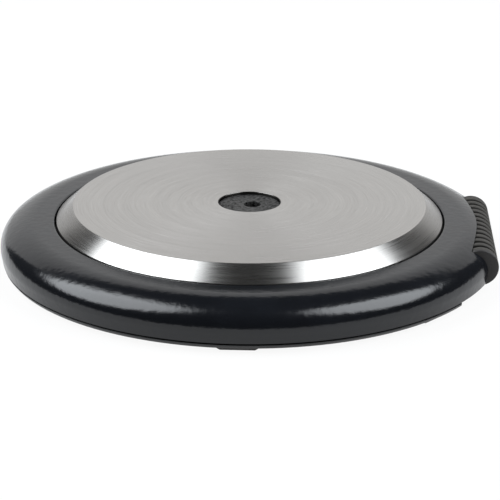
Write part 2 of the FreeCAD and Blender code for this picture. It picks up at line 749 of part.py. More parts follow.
def make_top_ring():
    """Moulded ring: crowned outside, ledge for the plate, bosses, and the grip's channel."""
    lip_x = ring_in_r + v.ring_wall
    corners = [
        (ring_in_r, ring_top - v.lip_r, v.lip_r, False),
        (ring_in_r + v.lip_r, ring_top),
    ]
    corners += shoulder_corners(size(0))
    corners += reverse_corners(shoulder_corners(v.ring_wall))
    corners += [
        (lip_x, ring_top - v.ring_wall),
        (lip_x, ledge_foot),
        (ledge_r, ledge_foot),
        (ledge_r, gasket_foot),
        (ring_in_r, gasket_foot),
    ]
    things = [turned("ring_shell", corners)]
    middle = v.ring_wall / 2
    envelope = [(lip_x - middle, ring_foot), (lip_x - middle, ring_top - middle)]
    filled = turned("ring_filled", envelope + shoulder_corners(middle))
    saddle = bar(
        "saddle",
        scoop_r + v.ring_wall,
        channel_len + v.ring_wall * 2,
        grip_x,
        -channel_len / 2 - v.ring_wall,
        v.grip_z,
        ALONG_Y,
    )
    floor = box(
        "saddle_floor",
        guide_out + v.guide_gap,
        -ring_r,
        ring_foot,
        ring_r,
        ring_r * 2,
        v.ring_wall,
    )
    saddle_half = box(
        "saddle_half",
        guide_out,
        -ring_r,
        ring_foot,
        ring_r,
        ring_r * 2,
        ring_top,
    )
    things.append(common("saddle_in_ring", filled, common("saddle_cut", saddle, saddle_half)))
    things.append(common("floor_in_ring", filled, floor))
    for angle in BOSS_ANGLES:
        x = boss_at * cosine(angle)
        y = boss_at * sine(angle)
        height = ring_top - v.ring_wall * 0.6 - base_top
        things.append(bar("boss", v.boss_r, height, x, y, base_top))
    whole = join("ring_joined", things)
    tools = []
    for angle in BOSS_ANGLES:
        x = boss_at * cosine(angle)
        y = boss_at * sine(angle)
        tools.append(bar("boss_hole", v.screw_pilot_r, v.screw_reach, x, y, v.base_foot + 1))
    half = channel_len / 2
    tools.append(bar("channel", scoop_r, channel_len, grip_x, -half, v.grip_z, ALONG_Y))
    tools.append(
        box(
            "channel_mouth",
            grip_x,
            -half,
            v.grip_z - scoop_r,
            ring_r,
            channel_len,
            scoop_r * 2,
        )
    )
    for side in (1, -1):
        hole_r = v.rod_r + v.rod_hole_gap
        start = guide_in
        tools.append(
            bar("rod_hole", hole_r, grip_x - start, start, side * v.rod_y, v.grip_z, ALONG_X)
        )
    gap = v.opening_gap
    tools.append(
        box(
            "inlet_opening",
            -v.inlet_w / 2 - gap,
            inlet_face - v.inlet_depth,
            v.inlet_foot - gap,
            v.inlet_w + gap * 2,
            v.inlet_depth * 2,
            v.inlet_h + gap * 2,
        )
    )
    slot = bar(
        "wheel_slot",
        v.wheel_r + v.wheel_gap,
        v.wheel_t + v.wheel_gap * 2,
        0,
        wheel_y,
        v.wheel_z - v.wheel_gap,
    )
    relief = bar(
        "cam_relief",
        v.cam_r + v.cam_off + v.wheel_gap,
        v.stack_gap + v.cam_t + v.wheel_gap,
        0,
        wheel_y,
        v.arm_top,
    )
    tools.append(spin(group("wheel_slot_turned", [slot, relief]), v.wheel_angle - 90))
    lamp = bar(
        "lamp_hole",
        v.lens_r + v.lens_gap,
        v.lens_len * 2,
        ring_r - v.lens_len,
        0,
        wire_z,
        ALONG_X,
    )
    tools.append(spin(group("lamp_hole_turned", [lamp]), v.lamp_angle))
    piece(cut("top_ring", whole, tools), "top_ring")


def guide_screw_places():
    places = []
    for side in (1, -1):
        for step in (1, -1):
            places.append((guide_screw_x, side * (v.rod_y + step * v.guide_screw_y)))
    return places


def arm_screw_places():
    """The two screws of the thermostat bracket, already turned to its direction."""
    places = []
    for side in (1, -1):
        x = side * v.arm_w / 4
        y = arm_in + v.head_r + 1
        turn = v.wheel_angle - 90
        places.append((x * cosine(turn) - y * sine(turn), x * sine(turn) + y * cosine(turn)))
    return places


def boss_places():
    return [(boss_at * cosine(a), boss_at * sine(a)) for a in BOSS_ANGLES]


def make_base_plate():
    """Pressed base with a locating rim, a straight edge beside the grip and cooling slots."""
    rim_out = ring_r - v.ring_foot_in - v.ring_wall - v.rim_gap
    rim_in = rim_out - v.base_rim_t
    edge = v.base_t * 0.2
    corners = [
        (0, v.base_foot),
        (base_foot_r, v.base_foot),
        (base_r, base_top - edge),
        (base_r, base_top),
        (rim_out, base_top),
        (rim_out, base_top + v.base_rim_rise),
        (rim_in, base_top + v.base_rim_rise),
        (rim_in, base_top),
        (0, base_top),
    ]
    body = turned("base_disc", corners)
    doc.recompute()
    solid_volume = body.Shape.Volume
    end_r = v.vent_w * 0.55
    slot_corners = [
        (v.vent_in, -v.vent_w / 2),
        (v.vent_in + v.vent_len, -v.vent_w / 2, end_r, True),
        (v.vent_in + v.vent_len, v.vent_w / 2),
        (v.vent_in, v.vent_w / 2, end_r, True),
    ]
    slot = body.newObject("PartDesign::Pocket", "vent")
    slot.Profile = outline(body, "vent_outline", "XY_Plane", slot_corners, base_top)
    bind(slot, "Length", v.base_t + 1)
    doc.recompute()
    pattern = body.newObject("PartDesign::PolarPattern", "vents")
    pattern.Originals = [slot]
    pattern.Axis = (slot.Profile[0], ["N_Axis"])
    pattern.Angle = 360
    bind(pattern, "Occurrences", v.vent_count)
    body.Tip = pattern
    doc.recompute()
    one = (v.vent_len * v.vent_w).number * v.base_t.number
    if body.Shape.Volume > solid_volume - 0.9 * v.vent_count.number * one:
        raise ValueError("the cooling slots did not cut the base plate")
    width = ring_r * 2
    tools = [
        box("base_edge", base_cut_x, -ring_r, 0, ring_r, width, v.total_height),
        box("rim_edge", guide_out - v.rim_gap, -ring_r, base_top, ring_r, width, v.total_height),
    ]
    for x, y in boss_places() + guide_screw_places() + arm_screw_places():
        tools.append(bar("base_hole", v.screw_hole_r, v.base_t + 2, x, y, v.base_foot - 1))
    piece(cut("base_plate", body, tools), "base_plate")


def make_feet():
    """Soft rubber pads with a bevelled lower edge, stuck under the base plate."""
    for label, angle in FOOT_NAMES.items():
        half = v.foot_w / 2
        corners = [
            (foot_in, -half),
            (foot_in + v.foot_len, -half),
            (foot_in + v.foot_len, half),
            (foot_in, half),
        ]
        body = padded(label, corners, 0, v.base_foot)
        doc.recompute()
        pad = body.Tip
        low = []
        for number, edge in enumerate(pad.Shape.Edges, start=1):
            if edge.BoundBox.ZMax < 0.01:
                low.append("Edge" + str(number))
        bevel = body.newObject("PartDesign::Chamfer", label + "_bevel")
        bevel.Base = (pad, low)
        bind(bevel, "Size", v.foot_edge)
        piece(spin(body, angle), label)


def screw(name, x, y, foot, reach):
    """A pan head screw from below, as one solid."""
    head = bar(name + "_head", v.head_r, v.head_t, x, y, foot - v.head_t)
    shank = bar(name + "_shank", v.screw_r, reach, x, y, foot)
    return join(name, [head, shank])


def make_screws():
    boss_reach = v.screw_reach - 0.5
    sets = (
        ("base_screws", boss_places(), boss_reach),
        ("guide_screws", guide_screw_places(), v.guide_screw_reach),
        ("bracket_screws", arm_screw_places(), v.base_t + v.arm_t + 1.5),
    )
    for label, places, reach in sets:
        screws = [screw(label[:-1], x, y, v.base_foot, reach) for x, y in places]
        piece(group(label, screws), label)


# ---------------------------------------------------------------- carry handle
def make_rod_guides():
    """Plain bearing blocks that stand on the base plate and carry the handle's rods."""
    top = ledge_foot - v.guide_gap
    for side, label in ((1, "rod_guide_rear"), (-1, "rod_guide_front")):
        y = side * v.rod_y - v.guide_w / 2
        body = box(
            label + "_block",
            guide_in,
            y,
            base_top,
            guide_out - guide_in,
            v.guide_w,
            top - base_top,
        )
        length = guide_out - guide_in + 2
        hole_r = v.rod_r + v.rod_run_gap
        tools = [bar("guide_bore", hole_r, length, guide_in - 1, side * v.rod_y, v.grip_z, ALONG_X)]
        for step in (1, -1):
            place = side * (v.rod_y + step * v.guide_screw_y)
            reach = v.guide_screw_reach - v.base_t + 1.5
            tools.append(
                bar("guide_pilot", v.screw_pilot_r, reach, guide_screw_x, place, base_top - 1)
            )
        piece(cut(label, body, tools), label)


def make_carry_handle():
    """Ribbed grip on two rods that slide out of the ring, tied by a bar inside."""
    sleeve_len = v.grip_len - v.cap_t * 2
    pitch = (sleeve_len - v.rib_w) / (v.rib_count - 1)
    body = new_body("sleeve_body")
    half = sleeve_len / 2
    in_r = v.core_r + v.core_gap
    corners = [(in_r, -half), (v.grip_r, -half), (v.grip_r, half), (in_r, half)]
    sketch = outline(body, "sleeve_outline", "XY_Plane", corners)
    turn = body.newObject("PartDesign::Revolution", "sleeve_turn")
    turn.Profile = sketch
    turn.ReferenceAxis = (sketch, ["V_Axis"])
    turn.Angle = 360
    doc.recompute()
    groove_start = -half + v.rib_w
    corners = [
        (v.grip_r - v.rib_h, groove_start),
        (v.grip_r + 1, groove_start),
        (v.grip_r + 1, groove_start + pitch - v.rib_w),
        (v.grip_r - v.rib_h, groove_start + pitch - v.rib_w),
    ]
    groove_sketch = outline(body, "groove_outline", "XY_Plane", corners)
    groove = body.newObject("PartDesign::Groove", "groove")
    groove.Profile = groove_sketch
    groove.ReferenceAxis = (groove_sketch, ["V_Axis"])
    groove.Angle = 360
    doc.recompute()
    before = turn.Shape.Volume
    if groove.Shape.Volume > before - 1:
        raise ValueError("the groove did not cut the sleeve")
    pattern = body.newObject("PartDesign::LinearPattern", "grooves")
    pattern.Originals = [groove]
    pattern.Direction = (groove_sketch, ["V_Axis"])
    bind(pattern, "Length", pitch * (v.rib_count - 2))
    bind(pattern, "Occurrences", v.rib_count - 1)
    body.Tip = pattern
    move(body, grip_x, 0, v.grip_z)
    tools = []
    for side in (1, -1):
        y = side * v.rod_y
        hole_r = v.rod_r + v.rod_hole_gap
        start = grip_x - v.grip_r - 1
        tools.append(bar("sleeve_rod_hole", hole_r, v.grip_r + 1, start, y, v.grip_z, ALONG_X))
        low = v.grip_z - v.grip_r - 1
        tools.append(bar("sleeve_key_hole", v.screw_hole_r, v.grip_r + 1, grip_x, y, low))
    piece(cut("grip_sleeve", body, tools), "grip_sleeve")

    core = bar("core_bar", v.core_r, sleeve_len, grip_x, -half, v.grip_z, ALONG_Y)
    tools = []
    for side in (1, -1):
        y = side * v.rod_y
        start = grip_x - v.core_r - 1
        length = v.core_r + 1 + v.rod_into_core + v.thread_gap
        hole_r = v.rod_r + v.thread_gap
        tools.append(bar("core_rod_hole", hole_r, length, start, y, v.grip_z, ALONG_X))
        low = v.grip_z - v.core_r - 1
        tools.append(bar("core_key_hole", v.screw_pilot_r, v.core_r + 1, grip_x, y, low))
        pin_hole = bar(
            "core_pin_hole",
            v.cap_pin_r + v.thread_gap,
            v.cap_pin_len + 1,
            grip_x,
            -half - 1 if side < 0 else half - v.cap_pin_len,
            v.grip_z,
            ALONG_Y,
        )
        tools.append(pin_hole)
    piece(cut("grip_core", core, tools), "grip_core")

    for side, label in ((1, "grip_cap_rear"), (-1, "grip_cap_front")):
        start = half if side > 0 else -half - v.cap_t
        cap = bar(label + "_disc", v.grip_r, v.cap_t, grip_x, start, v.grip_z, ALONG_Y)
        start = half - v.cap_pin_len + 0.2 if side > 0 else -half
        pin_len = v.cap_pin_len - 0.2
        pin = bar(label + "_pin", v.cap_pin_r, pin_len, grip_x, start, v.grip_z, ALONG_Y)
        piece(join(label, [cap, pin]), label)

    keys = []
    clips = []
    for side, label in ((1, "handle_rod_rear"), (-1, "handle_rod_front")):
        y = side * v.rod_y
        length = grip_x + v.rod_into_core - rod_in
        piece(bar(label, v.rod_r, length, rod_in, y, v.grip_z, ALONG_X), label)
        key_foot = v.grip_z - v.core_r + 0.3
        key_len = v.core_r - 0.3 - v.rod_r
        keys.append(bar("set_screw", v.screw_r, key_len, grip_x, y, key_foot))
        for x in (cross_x - v.clip_t, cross_x + v.cross_t):
            whole = bar("clip", v.clip_r, v.clip_t, x, y, v.grip_z, ALONG_X)
            bore_r = v.rod_r + v.thread_gap
            bore = bar("clip_bore", bore_r, v.clip_t + 2, x - 1, y, v.grip_z, ALONG_X)
            clips.append(cut("clip_ring", whole, [bore]))
    piece(group("grip_set_screws", keys), "grip_set_screws")
    piece(group("rod_clips", clips), "rod_clips")

    reach = v.rod_y + v.cross_over
    block = box(
        "cross_block",
        cross_x,
        -reach,
        v.grip_z - v.cross_half_h,
        v.cross_t,
        reach * 2,
        v.cross_half_h * 2,
    )
    tools = []
    for side in (1, -1):
        bore_r = v.rod_r + v.thread_gap
        y = side * v.rod_y
        tools.append(bar("cross_bore", bore_r, v.cross_t + 2, cross_x - 1, y, v.grip_z, ALONG_X))
    piece(cut("handle_cross_bar", block, tools), "handle_cross_bar")


# ---------------------------------------------------------------- heat control
def make_heat_control():
    """A notched wheel on an upright shaft whose cam loads the thermostat's blade.

    Everything is laid out towards +Y and then turned to the wheel's own direction.
    """
    turn = v.wheel_angle - 90
    arm_low_top = base_top + v.arm_t
    wheel = new_body("wheel_body")
    top = v.wheel_z + v.wheel_t
    bore = v.shaft_r + v.thread_gap
    round_off = v.wheel_t * 0.16
    corners = [
        (bore, v.wheel_z),
        (v.wheel_r - round_off, v.wheel_z),
        (v.wheel_r, v.wheel_z + round_off),
        (v.wheel_r, top - round_off),
        (v.wheel_r - round_off, top),
        (bore, top),
    ]
    sketch = outline(wheel, "wheel_outline", "XZ_Plane", corners)
    disc = wheel.newObject("PartDesign::Revolution", "wheel_turn")
    disc.Profile = sketch
    disc.ReferenceAxis = (sketch, ["V_Axis"])
    disc.Angle = 360
    doc.recompute()
    notch_sketch = wheel.newObject("Sketcher::SketchObject", "notch_outline")
    notch_sketch.AttachmentSupport = [(plane(wheel, "XY_Plane"), "")]
    notch_sketch.MapMode = "FlatFace"
    bind(notch_sketch, "AttachmentOffset.Base.z", top)
    circle = Part.Circle(Vector(v.wheel_r.number, 0, 0), Vector(0, 0, 1), v.notch_r.number)
    notch_sketch.addGeometry(circle, False)
    notch_sketch.addConstraint(Sketcher.Constraint("PointOnObject", 0, 3, -1))
    index = notch_sketch.addConstraint(
        Sketcher.Constraint("DistanceX", 0, 3, v.wheel_r.number)
    )
    bind(notch_sketch, "Constraints[" + str(index) + "]", v.wheel_r + v.notch_r * 0.3)
    index = notch_sketch.addConstraint(Sketcher.Constraint("Radius", 0, v.notch_r.number))
    bind(notch_sketch, "Constraints[" + str(index) + "]", v.notch_r)
    notch = wheel.newObject("PartDesign::Pocket", "notch")
    notch.Profile = notch_sketch
    bind(notch, "Length", v.wheel_t + 1)
    doc.recompute()
    pattern = wheel.newObject("PartDesign::PolarPattern", "notches")
    pattern.Originals = [notch]
    pattern.Axis = (notch_sketch, ["N_Axis"])
    pattern.Angle = 360
    bind(pattern, "Occurrences", v.notch_count)
    wheel.Tip = pattern
    move(wheel, 0, wheel_y, 0)
    piece(spin(group("wheel_turned", [wheel]), turn), "heat_wheel")

    blade_foot = v.arm_top + v.stack_gap
    shaft_foot = arm_low_top + 0.05
    shaft = join(
        "shaft_joined",
        [
            bar("shaft_pin", v.shaft_pin_r, v.arm_t, 0, wheel_y, base_top + 0.05),
            bar(
                "shaft_bar",
                v.shaft_r,
                blade_foot + v.cam_t - shaft_foot,
                0,
                wheel_y,
                shaft_foot,
            ),
        ],
    )
    piece(spin(group("shaft_turned", [shaft]), turn), "thermostat_shaft")
    cam = cut(
        "cam_disc",
        bar("cam_round", v.cam_r, v.cam_t, v.cam_off, wheel_y, blade_foot),
        [bar("cam_bore", bore, v.cam_t + 2, 0, wheel_y, blade_foot - 1)],
    )
    piece(spin(group("cam_turned", [cam]), turn), "thermostat_cam")

    arm_end = wheel_y + v.shaft_r + 3
    half = v.arm_w / 2
    low_arm = box("low_arm", -half, arm_in, base_top, v.arm_w, arm_end - arm_in, v.arm_t)
    upright = box(
        "upright", -half, upright_y, base_top, v.arm_w, v.arm_t, v.arm_top - base_top
    )
    high_arm = box(
        "high_arm",
        -half,
        upright_y,
        v.arm_top - v.arm_t,
        v.arm_w,
        arm_end - upright_y,
        v.arm_t,
    )
    tools = [
        bar("low_bore", v.shaft_pin_r + v.thread_gap, v.arm_t + 2, 0, wheel_y, base_top - 1),
        bar(
            "high_bore",
            v.shaft_r + v.thread_gap,
            v.arm_t + 2,
            0,
            wheel_y,
            v.arm_top - v.arm_t - 1,
        ),
    ]
    for side in (1, -1):
        x = side * v.arm_w / 4
        y = arm_in + v.head_r + 1
        tools.append(bar("arm_hole", v.screw_pilot_r, v.arm_t + 2, x, y, base_top - 1))
    frame = cut("arm_cut", join("arm_joined", [low_arm, upright, high_arm]), tools)
    piece(spin(group("arm_turned", [frame]), turn), "thermostat_bracket")

    block_h = blade_foot - arm_low_top
    block = box(
        "block", -half - 2, block_in, arm_low_top, v.arm_w + 4, v.block_len, block_h
    )
    push_end = wheel_y - v.cam_r - v.cam_off - 0.3
    push_in = block_in + 2
    half_blade = v.blade_w / 2
    push = box(
        "push", -half_blade, push_in, blade_foot, v.blade_w, push_end - push_in, v.blade_t
    )
    bimetal_in = block_in - v.block_len * 0.8
    bimetal_len = block_in + v.block_len - 2 - bimetal_in
    bimetal_foot = blade_foot + v.blade_t
    bimetal = box(
        "bimetal",
        -half_blade,
        bimetal_in,
        bimetal_foot,
        v.blade_w,
        bimetal_len,
        v.blade_t,
    )
    blade_top = bimetal_foot + v.blade_t
    depth = v.blade_t * 10
    screws = []
    bores = []
    for share in (0.35, 0.75):
        y = block_in + v.block_len * share
        head_h = v.blade_t
        head = bar("stack_head", v.head_r * 0.8, head_h, 0, y, blade_top)
        shank = bar("stack_shank", v.screw_r, depth, 0, y, blade_top - depth)
        screws.append(join("stack_screw", [head, shank]))
        low = blade_top - depth - 0.5
        bores.append(bar("stack_bore", v.screw_pilot_r, depth + 2, 0, y, low))
    for thing, label in (
        (block, "thermostat_block"),
        (push, "push_blade"),
        (bimetal, "bimetal_blade"),
    ):
        bored = cut(label + "_bored", thing, bores)
        piece(spin(group(label + "_turned", [bored]), turn), label)
    stack = spin(group("stack_turned", screws), turn)
    piece(stack, "thermostat_screws")


# ---------------------------------------------------------------- mains side
def make_inlet():
    """Low mains inlet: a recessed housing, two flat blades and two earth contacts."""
    back = inlet_face - v.inlet_depth
    half = v.inlet_w / 2
    housing = box(
        "housing", -half, back, v.inlet_foot, v.inlet_w, v.inlet_depth, v.inlet_h
    )
    recess_z = v.inlet_foot + v.inlet_wall
    recess_h = v.inlet_h - v.inlet_wall * 2
    recess_y = inlet_face - v.recess_depth
    recess = box(
        "recess", -v.recess_w / 2, recess_y, recess_z, v.recess_w, v.recess_depth + 1, recess_h
    )
    tools = [recess]
    blades = []
    tail = back - v.pin_tail
    blade_len = inlet_face - v.pin_short - tail
    for side in (1, -1):
        x = side * v.blade_at - v.pin_t / 2
        z = wire_z - v.pin_h / 2
        blades.append(box("blade", x, tail, z, v.pin_t, blade_len, v.pin_h))
        gap = v.thread_gap
        slot = box(
            "blade_slot",
            x - gap,
            back - 1,
            z - gap,
            v.pin_t + gap * 2,
            v.inlet_depth - v.recess_depth + 2,
            v.pin_h + gap * 2,
        )
        tools.append(slot)
    piece(cut("power_inlet", housing, tools), "power_inlet")
    piece(group("inlet_blades", blades), "inlet_blades")
    contacts = []
    length = v.recess_depth - v.pin_short
    for z in (recess_z, recess_z + recess_h - v.earth_t):
        contacts.append(box("earth", -v.earth_w / 2, recess_y, z, v.earth_w, length, v.earth_t))
    piece(group("earth_contacts", contacts), "earth_contacts")


def make_pilot_lamp():
    """A small lamp in a clear lens that snaps into the ring."""
    body = new_body("lens_body")
    flange_z = ring_r + 0.05
    barrel = flange_z - v.lens_len
    top = flange_z + v.lens_flange_t
    bore = v.lamp_r + v.lens_gap
    corners = [
        (bore, barrel),
        (v.lens_r, barrel),
        (v.lens_r, flange_z),
        (v.lens_flange_r, flange_z),
        (v.lens_flange_r, top),
        (v.lens_r, top, v.lens_dome_r, True),
        (v.lens_tip_r, top + v.lens_dome),
        (0, top + v.lens_dome),
        (0, flange_z - 1),
        (bore, flange_z - 1),
    ]
    sketch = outline(body, "lens_outline", "XY_Plane", [(c[1], c[0]) + c[2:] for c in corners])
    turn = body.newObject("PartDesign::Revolution", "lens_turn")
    turn.Profile = sketch
    turn.ReferenceAxis = (sketch, ["H_Axis"])
    turn.Angle = 360
    move(body, 0, 0, wire_z)
    piece(spin(group("lens_turned", [body]), v.lamp_angle), "lamp_lens")
    start = flange_z - 1 - v.lens_gap - v.lamp_len
    lamp = bar("lamp_bar", v.lamp_r, v.lamp_len, start, 0, wire_z, ALONG_X)
    piece(spin(group("lamp_turned", [lamp]), v.lamp_angle), "pilot_lamp")


def bent_path(points, bend):
    """Straight runs through flat points, each corner rounded by a tangent arc."""
    edges = []
    start = points[0]
    for i in range(1, len(points) - 1):
        corner = points[i]
        back = (points[i - 1] - corner).normalize()
        ahead = (points[i + 1] - corner).normalize()
        half = back.getAngle(ahead) / 2
        reach = bend / math.tan(half)
        first = corner + back * reach
        last = corner + ahead * reach
        middle_way = (back + ahead).normalize()
        centre = corner + middle_way * (bend / math.sin(half))
        middle = centre - middle_way * bend
        edges.append(Part.LineSegment(start, first).toShape())
        edges.append(Part.Arc(first, middle, last).toShape())
        start = last
    edges.append(Part.LineSegment(start, points[-1]).toShape())
    return Part.Wire(edges)


def make_wire(label, places):
    """A wire in one level plane, through a few chosen places."""
    points = [Vector(size(x).number, size(y).number, wire_z.number) for x, y in places]
    path = bent_path(points, v.wire_bend.number)
    way = points[1] - points[0]
    disc = Part.Wire([Part.Circle(points[0], way, v.wire_r.number).toShape()])
    solid = path.makePipeShell([disc], True, False)
    straight = math.pi * v.wire_r.number ** 2 * path.Length
    if abs(solid.Volume - straight) > 0.02 * straight:
        raise ValueError(label + " does not have the volume of its path")
    thing = doc.addObject("Part::Feature", label)
    thing.Shape = solid
    thing.Placement = Placement()
    piece(thing, label)


def make_wiring():
    """Wires, terminal block, thermal fuse and earth stud."""
    gap = v.wire_gap
    turn = v.wheel_angle - 90
    block_mid = block_in + v.block_len / 2
    block_half = v.arm_w / 2 + 2

    def beside_block(side, off):
        x = side * (block_half + off)
        return (
            x * cosine(turn) - block_mid * sine(turn),
            x * sine(turn) + block_mid * cosine(turn),
        )

    tail = inlet_face - v.inlet_depth - v.pin_tail - gap
    terminal_back = v.terminal_y + v.terminal_len
    hole_x = v.terminal_hole_x
    near = beside_block(1, gap)
    along = beside_block(1, 20)
    make_wire("wire_live", [(-v.blade_at, tail), (-v.blade_at, along[1] + 6), near])
    far = beside_block(-1, gap)
    fuse_top = v.fuse_y + v.fuse_len + gap
    bend_y = far[1] + (fuse_x - far[0]) * (beside_block(-1, 20)[1] - far[1]) / (
        beside_block(-1, 20)[0] - far[0]
    )
    make_wire("wire_to_fuse", [far, (fuse_x, bend_y), (fuse_x, fuse_top)])
    rear_x, rear_y = leg_place(1)
    front_x, front_y = leg_place(-1)
    make_wire(
        "wire_from_fuse",
        [
            (fuse_x, v.fuse_y - gap),
            (fuse_x, front_y),
            (front_x - v.tip_r - gap, front_y),
        ],
    )
    make_wire(
        "wire_neutral",
        [
            (v.blade_at, tail),
            (v.blade_at, terminal_back + 20),
            (hole_x, terminal_back + 8),
            (hole_x, terminal_back - 4),
        ],
    )
    make_wire(
        "wire_to_element",
        [
            (hole_x, v.terminal_y + 4),
            (hole_x, rear_y),
            (rear_x + v.tip_r + gap, rear_y),
        ],
    )
    contact_back = inlet_face - v.inlet_depth - gap
    make_wire(
        "wire_earth",
        [(0, contact_back), (0, v.earth_stud_y + v.earth_stud_r + gap)],
    )
    block = box(
        "terminal_body",
        -v.terminal_w / 2,
        v.terminal_y,
        base_top,
        v.terminal_w,
        v.terminal_len,
        v.terminal_h,
    )
    tools = []
    screws = []
    top = base_top + v.terminal_h
    for side in (1, -1):
        x = side * hole_x
        tools.append(
            bar(
                "terminal_hole",
                v.terminal_hole_r,
                v.terminal_len + 2,
                x,
                v.terminal_y - 1,
                wire_z,
                ALONG_Y,
            )
        )
        for share in (0.2, 0.8):
            y = v.terminal_y + v.terminal_len * share
            foot = wire_z + v.wire_r + 0.05
            pilot = bar("terminal_pilot", v.wire_r + 0.05, v.terminal_h, x, y, wire_z)
            tools.append(pilot)
            screws.append(bar("terminal_screw", v.wire_r, top - foot, x, y, foot))
    piece(cut("terminal_block", block, tools), "terminal_block")
    piece(group("terminal_screws", screws), "terminal_screws")
    fuse = bar("thermal_fuse", v.fuse_r, v.fuse_len, fuse_x, v.fuse_y, wire_z, ALONG_Y)
    piece(fuse, "thermal_fuse")
    clip_foot = wire_z - v.fuse_r - v.clip_t
    clip_y = v.fuse_y + v.fuse_len / 2 - v.fuse_clip_w / 2
    clip = box(
        "clip_block",
        fuse_x - v.fuse_r - v.clip_t,
        clip_y,
        clip_foot,
        (v.fuse_r + v.clip_t) * 2,
        v.fuse_clip_w,
        shield_foot - clip_foot,
    )
    bore = bar(
        "clip_hole",
        v.fuse_r + v.thread_gap,
        v.fuse_clip_w + 2,
        fuse_x,
        clip_y - 1,
        wire_z,
        ALONG_Y,
    )
    piece(cut("fuse_clip", clip, [bore]), "fuse_clip")
    stud_h = wire_z + v.wire_r + 1 - base_top
    piece(bar("earth_stud", v.earth_stud_r, stud_h, 0, v.earth_stud_y, base_top), "earth_stud")


make_heating_plate()
make_heater_casting()
make_heating_element()
make_insulation_and_shield()
make_centre_clamp()
make_plate_gasket()
make_top_ring()
make_base_plate()
make_feet()
make_screws()
make_rod_guides()
make_carry_handle()
make_heat_control()
make_inlet()
make_pilot_lamp()
make_wiring()

doc.recompute()
for thing in doc.Objects:
    if "Invalid" in thing.State or "Error" in thing.State:
        raise ValueError(thing.Name + " failed to build: " + str(thing.State))
for thing in parts:
    if thing.Shape.isNull() or not thing.Shape.isValid() or not thing.Shape.Solids:
        raise ValueError(thing.Label + " has no sound shape")

os.makedirs("parts", exist_ok=True)
for thing in parts:
    thing.Shape.exportStep("parts/" + thing.Label + ".step")
    print(thing.Label, len(thing.Shape.Solids), round(thing.Shape.Volume, 1))
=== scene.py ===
"""A slim round electric hot plate: its visible pieces, their finishes and a small studio.

The frame is loaded first and stays as it is. Every new piece takes its place and its main sizes
from the frame's boxes. All lengths are in metres.
"""

import json
import math

import bmesh
import bpy
import numpy as np
from bpy.props import FloatProperty, FloatVectorProperty, IntProperty, PointerProperty
from mathutils import Matrix, Vector


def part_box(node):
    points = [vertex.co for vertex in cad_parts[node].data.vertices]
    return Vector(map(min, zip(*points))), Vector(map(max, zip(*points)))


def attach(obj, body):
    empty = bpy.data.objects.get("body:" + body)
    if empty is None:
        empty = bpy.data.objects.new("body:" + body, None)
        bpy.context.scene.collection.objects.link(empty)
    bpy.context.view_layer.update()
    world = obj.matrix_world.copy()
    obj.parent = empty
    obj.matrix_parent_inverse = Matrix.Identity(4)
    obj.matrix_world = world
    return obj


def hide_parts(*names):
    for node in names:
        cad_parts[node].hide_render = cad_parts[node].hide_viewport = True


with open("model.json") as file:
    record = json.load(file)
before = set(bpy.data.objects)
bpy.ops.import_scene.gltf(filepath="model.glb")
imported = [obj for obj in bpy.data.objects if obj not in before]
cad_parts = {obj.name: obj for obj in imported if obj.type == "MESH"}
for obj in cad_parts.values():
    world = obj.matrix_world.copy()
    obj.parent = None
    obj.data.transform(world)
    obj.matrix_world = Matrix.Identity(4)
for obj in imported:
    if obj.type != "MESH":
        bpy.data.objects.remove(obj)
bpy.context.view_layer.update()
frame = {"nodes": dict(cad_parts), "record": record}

bl_info = {
    "name": "Round hot plate",
    "version": (1, 0, 0),
    "blender": (4, 5, 0),
    "location": "3D View > Sidebar > Hot plate",
    "description": "Builds the visible pieces, the finishes and the studio of a round hot plate",
    "category": "Object",
}

NODES = frame["nodes"]
MM = 0.001
SHARP = math.radians(38)

PLATE_LOW, PLATE_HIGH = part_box("heating_plate")
DISC_LOW, DISC_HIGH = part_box("centre_disc")
RING_LOW, RING_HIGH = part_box("top_ring")
SLEEVE_LOW, SLEEVE_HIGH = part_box("grip_sleeve")
CAP_LOW, CAP_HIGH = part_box("grip_cap_front")
WHEEL_LOW, WHEEL_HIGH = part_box("heat_wheel")
INLET_LOW, INLET_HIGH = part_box("power_inlet")
LENS_LOW, LENS_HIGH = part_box("lamp_lens")

GRIP_X = (SLEEVE_LOW.x + SLEEVE_HIGH.x) / 2
GRIP_Z = (SLEEVE_LOW.z + SLEEVE_HIGH.z) / 2
GRIP_R = (SLEEVE_HIGH.z - SLEEVE_LOW.z) / 2
GRIP_HALF = SLEEVE_HIGH.y
WHEEL_AT = (WHEEL_LOW + WHEEL_HIGH) / 2
WHEEL_R = (WHEEL_HIGH.x - WHEEL_LOW.x) / 2
LENS_AT = (LENS_LOW + LENS_HIGH) / 2
LENS_NECK = 3.3 * MM
LENS_FLANGE = 4.3 * MM
WHEEL_GAP = 0.6 * MM
WHEEL_BORE = 3.05 * MM
WHEEL_DISH = 0.5 * MM
NOTCHES = 36
NOTCH_R = 0.8 * MM
RING_R = -RING_LOW.x


# ------------------------------------------------------------------ sizes and colours
def length(name, description, value, top=1.0):
    return FloatProperty(
        name=name,
        description=description,
        default=value,
        min=0.0,
        max=top,
        unit="LENGTH",
        precision=5,
    )


def amount(name, description, value, top=1.0):
    return FloatProperty(
        name=name, description=description, default=value, min=0.0, max=top, subtype="FACTOR"
    )


def colour(name, description, value):
    return FloatVectorProperty(
        name=name, description=description, default=value, size=3, min=0.0, max=1.0, subtype="COLOR"
    )


def turn(name, description, degrees):
    return FloatProperty(
        name=name, description=description, default=math.radians(degrees), subtype="ANGLE"
    )


